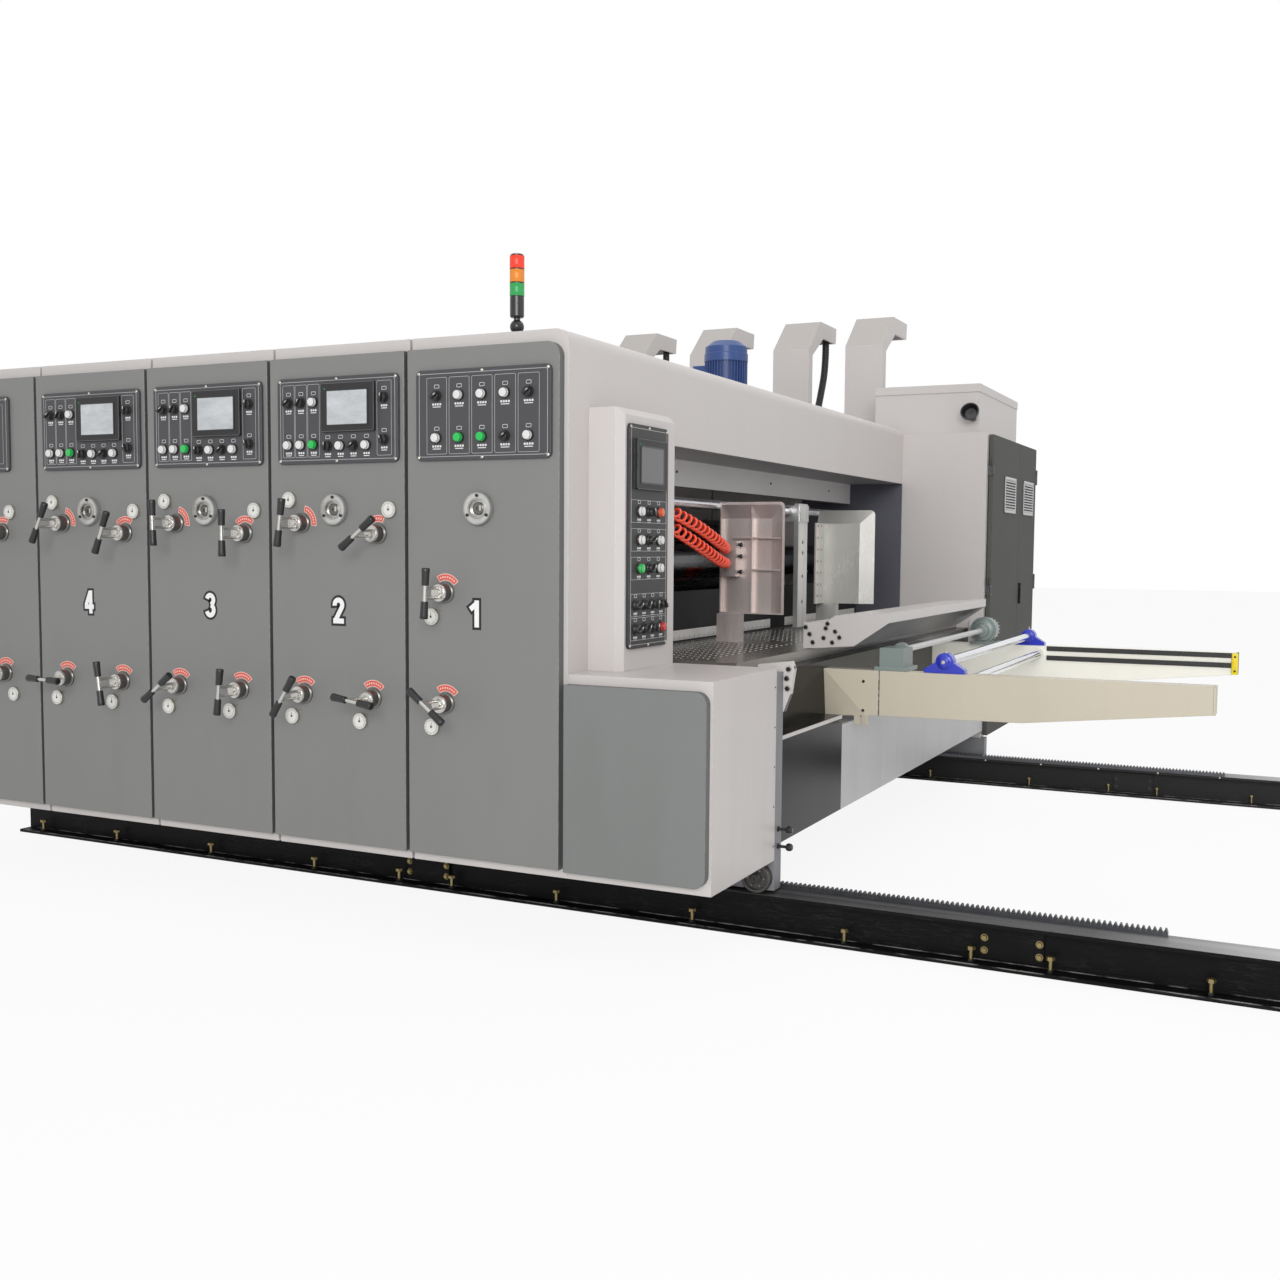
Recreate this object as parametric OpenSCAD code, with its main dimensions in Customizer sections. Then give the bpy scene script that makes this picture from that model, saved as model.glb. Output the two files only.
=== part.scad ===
// Flexo printer slotter die-cutter: a feeder, three printing sections and an
// end section that stand in a row on two floor rails and roll apart along them.
// +X is the feed end, -Y the operator side, +Z up. Sizes in millimetres.

/* [Sections] */
// Distance from one section to the next
unit_pitch = 558; // [500:2:640]
// Gap between neighbouring sections when they are closed up
unit_gap = 10; // [8:1:16]
// Width of the slotting and die-cutting end section
end_w = 750; // [600:5:900]
// Height of the cabinets' underside above the floor
under_z = 251; // [240:1:300]
// Height of the operator doors
door_h = 1600; // [1500:5:1750]
// Thickness of the operator doors, proud of the frame
door_t = 30; // [20:1:40]
// Margin of the frame on each side of a door
door_margin = 2; // [1:0.5:6]
// White strip below the doors
strip_h = 30; // [20:1:40]
// White cap strip above the doors
cap_h = 40; // [30:1:50]
// Depth of the operator cabinets
cab_d = 523; // [480:1:560]
// Thickness of the two wall plates
wall_t = 62; // [50:1:70]
// Clear width between the wall plates
inner_w = 3157; // [3000:1:3300]
// Depth of the drive cabinets behind the printing sections
drive_d = 866; // [760:1:960]
// Height of the drive cabinets' roof below the cap
drive_drop = 31; // [20:1:60]
// Depth of the hollow roof beams
roof_h = 299; // [240:1:340]
// How far the feeder's frame stands past its door
frame_out = 15; // [12:1:25]
// Radius of the feeder's outer top edge
edge_r = 45; // [20:1:80]

/* [Rails] */
// Length of one rail piece
rail_len = 2135; // [2100:1:2300]
// Number of rail pieces in a row
rail_n = 3; // [3:1:4]
// Height of the I-section rails
rail_h = 142; // [120:1:150]
// Width of the rail flanges
rail_w = 125; // [120:1:150]
// Thickness of the rail flanges
flange_t = 12; // [8:1:18]
// Thickness of the rail webs
web_t = 14; // [8:1:20]
// How far a rail stands out past its wall plate
rail_out = 33; // [30:1:36]
// How far the rails run past the end section
rail_over = 30; // [10:1:80]
// Clearance between the rails and the wall plates that pass over them
roll_clear = 8; // [6:1:12]
// Running gap between the wheels and the rails
wheel_seat = 0.3; // [0.2:0.1:0.5]
// Width of the gear racks
rack_w = 23; // [16:1:24]
// Height of the gear racks
rack_h = 22; // [14:1:26]
// Length of the gear racks past the feeder's door
rack_past = 1700; // [1600:5:1800]
// Tooth spacing of the gear racks
rack_pitch = 15.7; // [12:0.1:32]
// Depth of the racks' teeth
tooth_h = 11; // [6:0.5:12]
// Length of the splice plates between two rail pieces
splice_l = 190; // [150:1:240]
// Thickness of the splice plates
splice_t = 10; // [6:1:14]
// Radius of the track wheels
wheel_r = 50; // [42:0.5:50]
// Width of the track wheels
wheel_t = 28; // [20:1:28]
// Distance of a wheel's centre from its section's side
wheel_in = 80; // [60:1:110]

/* [Consoles and adjusters] */
// Width of a section's console plate
console_w = 488; // [420:1:500]
// Height of a section's console plate
console_h = 280; // [240:1:300]
// Thickness of the console plates
console_t = 10; // [6:1:14]
// Distance of the consoles below the door's top edge
console_drop = 68; // [40:1:120]
// Shift of the consoles from the section's middle
console_shift = 12; // [0:1:20]
// Width of the touch screens
screen_w = 214; // [180:1:230]
// Height of the touch screens
screen_h = 157; // [130:1:170]
// Thickness of the touch screens' bezels
screen_t = 12; // [8:1:20]
// Radius of the push buttons
button_r = 14; // [10:0.5:16]
// Length of the push buttons
button_l = 16; // [10:1:24]
// Spacing of the button columns
column_w = 52; // [44:1:54]
// Height of the upper button row above the console's lower edge
row_high = 200; // [180:1:220]
// Height of the lower button row above the console's lower edge
row_low = 62; // [50:1:90]
// Corner radius of the consoles
console_r = 18; // [8:1:30]
// Radius of an adjuster's boss
boss_r = 27; // [22:0.5:32]
// Length of an adjuster's boss
boss_l = 40; // [30:1:50]
// Distance of the T-handle's bar from the door
bar_out = 112; // [95:1:125]
// Length of the T-handle's bar over its grips
bar_l = 155; // [140:1:170]
// Radius of the T-handle's bar
bar_r = 6; // [5:0.5:8]
// Radius of the handle's grips
grip_r = 11; // [9:0.5:13]
// Length of one grip
grip_l = 52; // [40:1:58]
// Radius of the handle's two stems
stem_r = 5; // [4:0.5:6]
// Half the spacing of the two stems
stem_s = 15; // [12:0.5:18]
// Distance of the upper left adjuster from the section's side
upper_left_x = 137; // [120:1:160]
// Height of the upper left adjuster above the door's foot
upper_left_v = 1058; // [1030:1:1080]
// Distance of the upper right adjuster from the section's side
upper_right_x = 448; // [420:1:460]
// Height of the upper right adjuster above the door's foot
upper_right_v = 1024; // [1000:1:1060]
// Distance of the lower left adjuster from the section's side
lower_left_x = 142; // [120:1:160]
// Distance of the lower right adjuster from the section's side
lower_right_x = 424; // [400:1:450]
// Height of the lower adjusters above the door's foot
lower_v = 490; // [460:1:520]
// Distance of the feeder's adjusters from its side
feeder_adj_x = 149; // [120:1:170]
// Height of the feeder's upper adjuster above the door's foot
feeder_adj_v = 840; // [800:1:880]
// Distance of the end section's adjusters from its sides
end_adj_in = 184; // [150:1:220]
// Sideways distance of a dial from its adjuster
dial_side = 48; // [36:1:60]
// Upright distance of a dial from its adjuster
dial_rise = 77; // [68:1:90]
// Distance of the sight flange from the section's side
sight_x = 277; // [260:1:300]
// Height of the sight flange above the door's foot
sight_v = 1102; // [1080:1:1140]
// Radius of a dial
dial_r = 26; // [22:0.5:30]
// Thickness of a dial
dial_t = 12; // [8:1:16]
// Outer radius of the round sight flanges
sight_r = 50; // [44:0.5:54]
// Bore radius of the round sight flanges
sight_bore = 27; // [22:0.5:32]
// Thickness of the sight flanges
sight_t = 18; // [12:1:24]

/* [Rolls] */
// Radius of the printing and die cylinders
plate_r = 135; // [120:0.5:140]
// Radius of the impression and anvil rolls
press_r = 78; // [60:0.5:90]
// Radius of the ink transfer rolls
ink_r = 70; // [55:0.5:80]
// Radius of the wiping rolls
wipe_r = 55; // [45:0.5:60]
// Running gap between two rolls
roll_gap = 4; // [3:0.5:8]

/* [Feeder] */
// Height of the feed table's top
table_z = 885; // [870:1:900]
// Thickness of the feed table
table_t = 40; // [30:1:50]
// Front edge of the feed table, past the feeder's door
table_x = 330; // [310:1:345]
// Length of the lower cabinet and the wall plates past the door
low_x = 495; // [485:1:520]
// Height of the lower cabinet's top
low_z = 882; // [875:1:892]
// Corner radius of the lower door
low_r = 38; // [20:1:60]
// Thickness of the control pillar
pillar_t = 116; // [100:1:130]
// Width of the control pillar
pillar_w = 383; // [360:1:397]
// Height of the control pillar
pillar_h = 815; // [780:1:850]
// Bevel of the control pillar's edges
pillar_bevel = 22; // [8:1:40]
// Width of the pillar's console plate
post_w = 280; // [240:1:300]
// Height of the pillar's console plate
post_h = 698; // [640:1:720]
// How far the pillar's overlay sits towards the operator
post_side = 20; // [0:1:24]
// How far the pillar's overlay sits above the pillar's middle
post_rise = 10; // [0:1:20]
// Depth of the recess under the hood
recess = 295; // [260:1:320]
// Height of the cross band at the back of the recess
band_h = 108; // [80:1:130]
// Thickness of the cross band
band_t = 40; // [20:1:60]
// Distance of each side guide from the machine's centre line
guide_y = 595; // [500:1:640]
// Length of the side guides
guide_l = 280; // [240:1:320]
// Height of the side guides
guide_h = 452; // [400:1:470]
// Height of the side guides' foot above the table
guide_lift = 115; // [90:1:130]
// Depth of the side guides' folded rims
guide_rim = 34; // [20:1:45]
// Thickness of the side guides' sheet
guide_t = 5; // [3:0.5:8]
// How far the side guides' sloped edges stand out
guide_bevel = 65; // [40:1:80]
// Corner radius of the side guides
guide_r = 24; // [10:1:40]
// Width of the posts under the side guides
post_x = 95; // [70:1:110]
// Depth of the posts under the side guides
post_y = 60; // [40:1:70]
// Height of the cross tube over the table
tube_z = 1440; // [1420:1:1460]
// Radius of the cross tube
tube_r = 20; // [16:0.5:24]
// Distance of the cross tube behind the hood's face
tube_in = 180; // [170:1:200]
// Clearance of the clamp on the cross tube
clamp_clear = 0.2; // [0.1:0.05:0.4]
// Width of the upright gate bar
gate_w = 125; // [100:1:140]
// Thickness of the upright gate bar
gate_t = 22; // [16:1:26]
// Height of the dark upstand behind the table
upstand_h = 205; // [160:1:240]

/* [Lift arms] */
// Distance of each arm's middle from the machine's centre line
arm_y = 830; // [780:1:880]
// Thickness of the arms
arm_t = 70; // [50:1:80]
// Reach of the arms past the feeder's door
arm_x = 1755; // [1700:1:1800]
// Height of the arms' top edge
arm_z = 816; // [800:1:825]
// Height of an arm at its root
arm_h = 168; // [150:1:180]
// Height of an arm at its tip
arm_tip = 96; // [80:1:110]
// Distance from the door to where the taper starts
taper_x = 1128; // [1050:1:1200]
// Radius of the cross shaft
shaft_r = 17; // [14:0.5:20]
// Distance of the cross shaft from the feeder's door
shaft_x = 848; // [800:1:880]
// Height of the cross shaft above the arms
shaft_up = 42; // [36:1:50]
// Thickness of the dark strips on the arms' inner sides
arm_strip_t = 6; // [4:0.5:10]
// Height of the dark strips on the arms' inner sides
arm_strip_h = 22; // [16:1:26]
// Thickness of the arms' end caps
arm_cap_t = 8; // [5:0.5:12]
// Width of the seam groove at the arms' root brackets
seam_w = 4; // [2:0.5:6]
// Distance of the seam groove from the feeder's door
seam_x = 608; // [580:1:640]
// Radial clearance of the shaft in its bearings
shaft_clear = 0.05; // [0.01:0.01:0.1]

/* [Drive housing] */
// Length of the drive housing past the feeder's door
house_x = 472; // [465:1:490]
// Depth of the drive housing from the rear wall plate
house_d = 1315; // [1280:1:1350]
// Height of the drive housing's underside in front of the feeder
house_z = 251; // [245:1:300]
// Thickness of the electric cabinet doors
leaf_t = 22; // [16:1:30]
// Gap between the cabinet doors and the housing
leaf_gap = 6; // [5:0.5:10]
// Width of the wider electric door
leaf_w = 750; // [720:1:765]
// Distance of the wider door from the housing's front edge
leaf_in = 36; // [30:1:60]
// Distance of the doors from the housing's foot and roof
leaf_edge = 10; // [8:1:30]
// Radius of the door hinges' barrels
barrel_r = 8; // [7:0.5:10]
// Radius of the door hinges' pins
hinge_pin = 4; // [3:0.5:5]
// Running gap in the door hinges
hinge_clear = 0.3; // [0.2:0.1:0.5]
// Length of one half of a hinge
hinge_l = 45; // [35:1:60]
// Width of the louvred vents in the doors
vent_w = 320; // [280:1:340]
// Height of the louvred vents
vent_h = 200; // [150:1:240]
// Distance of the vents from the doors' top edge
vent_drop = 208; // [170:1:240]
// Number of slots in a vent
vent_n = 12; // [8:1:16]
// How far the vents stand proud of the doors
vent_t = 4; // [3:0.5:6]
// Height of the box on the housing
top_h = 274; // [240:1:300]
// Depth of the box on the housing
top_d = 1050; // [980:1:1100]
// Length of the box on the housing past the feeder's door
top_x = 397; // [360:1:440]

/* [Ducts and roof] */
// Width of the ducts
duct_w = 230; // [200:1:260]
// Depth of the ducts
duct_d = 64; // [50:1:90]
// Distance of the ducts from the rear wall plate
duct_in = 458; // [420:1:500]
// Height of the duct's straight part
duct_h = 576; // [520:1:620]
// Height of the duct's bent head
duct_head = 190; // [160:1:220]
// How far the duct's neck leans back
duct_lean = 211; // [180:1:240]
// Length of the duct's mouth behind the neck
duct_mouth = 304; // [260:1:340]
// Height of the duct's mouth
mouth_h = 96; // [80:1:120]
// Thickness of the mouth's walls
duct_wall = 12; // [4:1:16]
// Distance of the ducts from the middle of their sections
duct_x = 8; // [0:1:20]
// Distance of the feeder's duct from the feeder's middle
feeder_duct_x = -94; // [-110:1:-80]
// Radius of the flexible conduits
conduit_r = 20; // [14:0.5:26]
// Distance of the conduits from the ducts' middle
conduit_x = 66; // [50:1:78]
// Radius of the roof motor
motor_r = 123; // [110:1:135]
// Height of the roof motor
motor_h = 504; // [440:1:560]
// Height of the motor's fan cowl
cowl_h = 115; // [100:1:150]
// Number of the motor's cooling fins
fin_n = 40; // [24:1:48]
// Depth of the motor's cooling fins
fin_h = 16; // [10:1:22]
// Thickness of the motor's cooling fins
fin_t = 5; // [3:0.5:6]
// Radius of the signal tower
tower_r = 22; // [16:0.5:25]
// Height of one lamp of the signal tower
lamp_h = 42; // [36:1:48]
// Height of the signal tower
tower_h = 248; // [220:1:280]
// Outer radius of the coiled hoses
hose_r = 23; // [18:0.5:26]

/* [Hidden] */
// Heights of the frame
top_z = under_z + strip_h + door_h + cap_h;
door_z = under_z + strip_h;
console_z = door_z + door_h - console_drop - console_h;
hood_z = top_z - roof_h;
drive_z = top_z - drive_drop;

// Depths from the operator doors' faces
cab_y0 = door_t;
wall_y0 = cab_y0 + cab_d;
wall_y1 = wall_y0 + wall_t;
back_y0 = wall_y1 + inner_w;
back_y1 = back_y0 + wall_t;
mid_y = (wall_y1 + back_y0) / 2;
house_y1 = back_y0 + house_d;
leaf_x0 = house_x + leaf_gap;
leaf_x1 = leaf_x0 + leaf_t;
leaf_y0 = back_y0 + leaf_in;
leaf_y1 = house_y1 - 2 * barrel_r;
leaf_z0 = house_z + leaf_edge;
leaf_z1 = drive_z - leaf_edge;
hinge_zs = [leaf_z0 + 170, (leaf_z0 + leaf_z1) / 2, leaf_z1 - 170];

// Lengths along the rails
end_x0 = -4 * unit_pitch - end_w;
rail_x0 = end_x0 - rail_over;
rail_x1 = rail_x0 + rail_n * rail_len;
foot_z = rail_h + roll_clear;
tube_x = frame_out - tube_in;
guide_x = frame_out - 150;
guide_z = table_z + guide_lift;
roll_z = table_z + plate_r;

// Place of the origin: middle of the footprint, on the floor
org_x = (rail_x0 + rail_x1) / 2;
org_y = (-bar_out - grip_r + house_y1) / 2;

// Angles of the T-handles as they stand, section by section
tilt_2 = [82, 37, 56, -8];
tilt_3 = [91, 90, 37, 84];
tilt_4 = [63, 67, -2, 98];
tilt_5 = [70, 95, 40, 88];
tilt_1 = [87, -38];

// Route of the coiled hoses: pillar side, sag, guide side
hose_top = [[105, 590, 1384], [75, 870, 1340], [10, 1220, 1285], [-85, 1510, 1262]];
hose_low = [[105, 590, 1331], [72, 870, 1278], [5, 1220, 1222], [-85, 1510, 1205]];
gland_l = 24;
valve_y = 1540;

// Button rows of the pillar: height, number of buttons, step
post_rows = [[61, 4, 62], [136, 4, 62], [251, 3, 70], [340, 3, 70], [429, 3, 70]];

// Route of the flexible conduits below a duct's mouth, from the duct's front and the mouth's roof
conduit_way = [[455, -110], [452, -190], [430, -300], [375, -420], [305, -550], [235, -670]];

// Box between two corners
module block(x, y, z) {
    translate([x[0], y[0], z[0]]) cube([x[1] - x[0], y[1] - y[0], z[1] - z[0]]);
}

// Flat shape in X and Z, pushed back along Y
module slab(y) {
    translate([0, y[1], 0]) rotate([90, 0, 0]) linear_extrude(y[1] - y[0]) children();
}

// Rectangle with any of its four corners rounded: lower left, lower right, upper right, upper left
module soft_rect(x, z, r, which = [1, 1, 1, 1]) {
    difference() {
        translate([x[0], z[0]]) square([x[1] - x[0], z[1] - z[0]]);
        for (c = [[0, x[0], z[0], 1, 1], [1, x[1], z[0], -1, 1], [2, x[1], z[1], -1, -1], [3, x[0], z[1], 1, -1]])
            if (which[c[0]] == 1)
                translate([c[1], c[2]]) scale([c[3], c[4]]) difference() {
                    translate([-1, -1]) square([r + 1, r + 1]);
                    translate([r, r]) circle(r, $fn = 40);
                }
    }
}

// Round rod between two depths
module rod_y(x, y, z, r, fn = 40) {
    translate([x, y[1], z]) rotate([90, 0, 0]) cylinder(r = r, h = y[1] - y[0], $fn = fn);
}

// Moves the model so that the middle of its footprint is the origin
module placed() {
    translate([-org_x, -org_y, 0]) children();
}

// Tube swept through a list of points, closed at both ends
module tube(route, r, sides = 10) {
    n = len(route);
    dirs = [for (i = [0 : n - 1]) let (a = route[max(i - 1, 0)], b = route[min(i + 1, n - 1)]) (b - a) / norm(b - a)];
    pts = [for (i = [0 : n - 1])
        let (side = cross(dirs[i], [1, 0.2, 0]), u = side / norm(side), v = cross(dirs[i], u))
            for (k = [0 : sides - 1]) route[i] + r * (cos(360 * k / sides) * u + sin(360 * k / sides) * v)];
    rings = [for (i = [0 : n - 2]) for (k = [0 : sides - 1]) let (m = (k + 1) % sides)
        [i * sides + k, (i + 1) * sides + k, (i + 1) * sides + m, i * sides + m]];
    ends = [[for (k = [0 : sides - 1]) k], [for (k = [sides - 1 : -1 : 0]) (n - 1) * sides + k]];
    polyhedron(pts, concat(rings, ends), convexity = 4);
}

// Points of a smooth curve through a route, with a set number of steps between points
function blend(a, b, c, d, t) = 0.5 * (2 * b + (c - a) * t + (2 * a - 5 * b + 4 * c - d) * t * t
    + (3 * b - a - 3 * c + d) * t * t * t);
function smooth_route(p, steps) = let (n = len(p)) concat(
    [for (i = [0 : n - 2]) for (s = [0 : steps - 1])
        blend(p[max(i - 1, 0)], p[i], p[i + 1], p[min(i + 2, n - 1)], s / steps)], [p[n - 1]]);

// Sides of a section, counted from the feed end
function unit_x0(k) = -k * unit_pitch + unit_gap / 2;
function unit_x1(k) = -(k - 1) * unit_pitch - unit_gap / 2;
function unit_mid(k) = -(k - 0.5) * unit_pitch;

// I-section rail
module rail_section(y0) {
    translate([rail_x0, y0, 0]) rotate([90, 0, 90]) linear_extrude(rail_x1 - rail_x0) {
        square([rail_w, flange_t]);
        translate([0, rail_h - flange_t]) square([rail_w, flange_t]);
        translate([(rail_w - web_t) / 2, 0]) square([web_t, rail_h]);
    }
    for (i = [1 : rail_n - 1])
        block([rail_x0 + i * rail_len - splice_l / 2, rail_x0 + i * rail_len + splice_l / 2],
            [y0 + (rail_w - web_t) / 2 - splice_t, y0 + (rail_w + web_t) / 2 + splice_t],
            [flange_t + 10, rail_h - flange_t - 10]);
}

module rails() {
    color([0.09, 0.09, 0.1]) placed() {
        rail_section(wall_y0 - rail_out);
        rail_section(back_y1 + rail_out - rail_w);
    }
}

// Side view of a rack: straight-flanked teeth of 20 degrees on a bar
module rack_shape() {
    x0 = end_x0 + end_w;
    root = rail_h + rack_h - tooth_h;
    tip = rail_h + rack_h;
    n = floor((rack_past - x0) / rack_pitch);
    teeth = [for (i = [0 : n - 1]) let (x = x0 + i * rack_pitch) each [[x, root], [x + 0.21 * rack_pitch, root],
        [x + 0.47 * rack_pitch, tip], [x + 0.74 * rack_pitch, tip]]];
    polygon(concat([[x0, rail_h]], teeth, [[x0 + n * rack_pitch, root], [x0 + n * rack_pitch, rail_h]]));
}

// Gear racks on the rails' inner edges
module racks() {
    color([0.25, 0.25, 0.27]) placed() {
        for (y = [wall_y0 - rail_out + rail_w - rack_w, back_y1 + rail_out - rail_w])
            slab([y, y + rack_w]) rack_shape();
    }
}

// Solid steel wheel with a turned recess round its hub
module track_wheel() {
    r = wheel_r;
    t = wheel_t;
    rotate_extrude($fn = 64)
        polygon([[0, 0], [r, 0], [r, t - 3], [r - 3, t], [r * 0.78, t], [r * 0.74, t - 9], [r * 0.4, t - 9], [r * 0.36, t], [0, t]]);
}

// Track wheels of one section, seated on the outer faces of the wall plates
module track_wheels(xs) {
    z = rail_h + wheel_seat + wheel_r;
    for (x = xs) {
        translate([x, wall_y0, z]) rotate([90, 0, 0]) track_wheel();
        translate([x, back_y1, z]) rotate([-90, 0, 0]) track_wheel();
    }
}

// Cabinets, wall plates and roof of one section
module section_frame(x, plate_z) {
    block(x, [cab_y0, wall_y0], [under_z, top_z]);
    block(x, [wall_y0, wall_y1], [plate_z, top_z]);
    block(x, [wall_y1, back_y0], [hood_z, top_z]);
    block(x, [back_y0, back_y1], [plate_z, top_z]);
    block(x, [back_y1, back_y1 + drive_d], [under_z, drive_z]);
}

module unit_frame(k) {
    color([0.85, 0.83, 0.83]) placed() {
        section_frame([unit_x0(k), unit_x1(k)], foot_z);
        track_wheels([unit_x0(k) + wheel_in, unit_x1(k) - wheel_in]);
    }
}

// Operator door of a section
module section_panel(x) {
    block([x[0] + door_margin, x[1] - door_margin], [0, door_t], [door_z, door_z + door_h]);
}

module unit_panel(k) {
    color([0.53, 0.54, 0.54]) placed() section_panel([unit_x0(k), unit_x1(k)]);
}

// Console plate on a door
module console_plate(mid) {
    slab([-console_t, 0])
        soft_rect([mid - console_w / 2, mid + console_w / 2], [console_z, console_z + console_h], console_r);
}

// Round push button standing on a console plate
module button(x, z) {
    rod_y(x, [-console_t - button_l, -console_t], console_z + z, button_r, 24);
}

// Console with three button columns, a touch screen, two pairs below it and a last column
module unit_console(k) {
    mid = unit_mid(k) + console_shift;
    left = mid - console_w / 2;
    screen_x = left + 20 + 3 * column_w + 12;
    last = left + console_w - 54;
    color([0.29, 0.29, 0.3]) placed() {
        console_plate(mid);
        slab([-console_t - screen_t, -console_t])
            soft_rect([screen_x, screen_x + screen_w], [console_z + console_h - 22 - screen_h, console_z + console_h - 22], 6);
        for (i = [0 : 2], z = [row_low, row_high]) button(left + 20 + (i + 0.5) * column_w, z);
        for (i = [0 : 3]) button(screen_x + 20 + i * column_w, row_low - 6);
        for (z = [row_low + 10, row_high + 5]) button(last, z);
    }
}

// Adjuster: boss, two stems and a T-bar with grips, at a place on the door
module t_handle(x, z, tilt) {
    translate([x, 0, z]) rotate([0, -tilt, 0]) {
        rod_y(0, [-boss_l, 0], 0, boss_r);
        for (s = [-stem_s, stem_s]) rod_y(s, [-bar_out, -boss_l + 2], 0, stem_r, 20);
        translate([-bar_l / 2, -bar_out, 0]) rotate([0, 90, 0]) {
            cylinder(r = bar_r, h = bar_l, $fn = 20);
            cylinder(r = grip_r, h = grip_l, $fn = 24);
            translate([0, 0, bar_l - grip_l]) cylinder(r = grip_r, h = grip_l, $fn = 24);
        }
    }
}

module dial(x, z) {
    rod_y(x, [-dial_t, 0], z, dial_r);
}

// Round flange with an open bore
module sight(x, z) {
    difference() {
        rod_y(x, [-sight_t, 0], z, sight_r, 48);
        rod_y(x, [-sight_t - 1, -sight_t / 3], z, sight_bore);
    }
}

// Four adjusters with their dials, and the sight flange, of a printing section
module four_adjusters(x0, tilts) {
    t_handle(x0 + upper_left_x, door_z + upper_left_v, tilts[0]);
    t_handle(x0 + upper_right_x, door_z + upper_right_v, tilts[1]);
    t_handle(x0 + lower_left_x, door_z + lower_v, tilts[2]);
    t_handle(x0 + lower_right_x, door_z + lower_v, tilts[3]);
    dial(x0 + upper_left_x - dial_side, door_z + upper_left_v + dial_rise);
    dial(x0 + upper_right_x + dial_side, door_z + upper_right_v + dial_rise);
    dial(x0 + lower_left_x - dial_side, door_z + lower_v - dial_rise);
    dial(x0 + lower_right_x - dial_side, door_z + lower_v - dial_rise);
    sight(x0 + sight_x, door_z + sight_v);
}

module unit_adjusters(k, tilts) {
    color([0.6, 0.6, 0.61]) placed() four_adjusters(-k * unit_pitch, tilts);
}

// Rolls between the wall plates: plate cylinder over its press roll, ink and wiping rolls above
module roll_stack(x) {
    ys = [wall_y1, back_y0];
    rod_y(x, ys, roll_z, plate_r, 64);
    rod_y(x, ys, roll_z - plate_r - roll_gap - press_r, press_r, 48);
    rod_y(x, ys, roll_z + plate_r + roll_gap + ink_r, ink_r, 48);
    rod_y(x, ys, roll_z + plate_r + 2 * roll_gap + 2 * ink_r + wipe_r, wipe_r, 48);
}

module unit_rolls(k) {
    color([0.45, 0.46, 0.48]) placed() roll_stack(unit_mid(k));
}

// Goose-necked duct, seen from the side: it rises, leans back and ends in a mouth that opens downwards
module duct_shape() {
    top = duct_h + duct_head;
    back = duct_lean + duct_mouth;
    polygon([[0, 0], [duct_d, 0], [duct_d, duct_h - duct_d / 2], [duct_lean + 0.8 * duct_d, top - mouth_h],
        [back - 10, top - mouth_h], [back, top], [duct_lean, top], [0, duct_h]]);
}

module duct_body(x) {
    top = duct_h + duct_head;
    back = duct_lean + duct_mouth;
    translate([x - duct_w / 2, back_y1 + duct_in, drive_z]) difference() {
        rotate([90, 0, 90]) linear_extrude(duct_w) duct_shape();
        block([duct_wall, duct_w - duct_wall], [duct_lean + duct_d + duct_wall, back - 10 - duct_wall],
            [top - mouth_h - 1, top - duct_wall]);
    }
}

// Flexible conduit from inside a duct's mouth down to the roof
module conduit(x) {
    y = back_y1 + duct_in;
    top = drive_z + duct_h + duct_head;
    way = [for (p = conduit_way) [x, y + p[0], top + p[1]]];
    tube(concat([[x, y + 455, top - duct_wall / 2]], smooth_route(way, 3), [[x, y + 200, drive_z + 30], [x, y + 200, drive_z]]), conduit_r, 14);
}

module unit_duct(k) {
    x = unit_mid(k) + duct_x;
    color([0.87, 0.86, 0.86]) placed() {
        duct_body(x);
        conduit(x + conduit_x);
    }
}

// Fixed end section for slotting and die-cutting
module end_frame() {
    color([0.85, 0.83, 0.83]) placed() section_frame([end_x0, unit_x1(5)], rail_h);
}

module end_panel() {
    color([0.53, 0.54, 0.54]) placed() section_panel([end_x0, unit_x1(5)]);
}

module end_console() {
    color([0.29, 0.29, 0.3]) placed() console_plate((end_x0 + unit_x1(5)) / 2);
}

module end_adjusters() {
    xs = [unit_x1(5) - end_adj_in, end_x0 + end_adj_in];
    color([0.6, 0.6, 0.61]) placed() {
        for (i = [0, 1]) {
            t_handle(xs[i], door_z + upper_right_v, tilt_5[i]);
            t_handle(xs[i], door_z + lower_v, tilt_5[2 + i]);
            dial(xs[i] + (1 - 2 * i) * dial_side, door_z + upper_right_v + dial_rise);
            dial(xs[i] + (1 - 2 * i) * dial_side, door_z + lower_v - dial_rise);
        }
    }
}

// Slotting shafts beside the die cylinder
module end_rolls() {
    mid = (end_x0 + unit_x1(5)) / 2;
    ys = [wall_y1, back_y0];
    color([0.45, 0.46, 0.48]) placed() {
        for (x = [mid - end_w / 4, mid + end_w / 4]) {
            rod_y(x, ys, roll_z, plate_r, 64);
            rod_y(x, ys, roll_z - 2 * plate_r - roll_gap, plate_r, 64);
        }
    }
}

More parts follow.
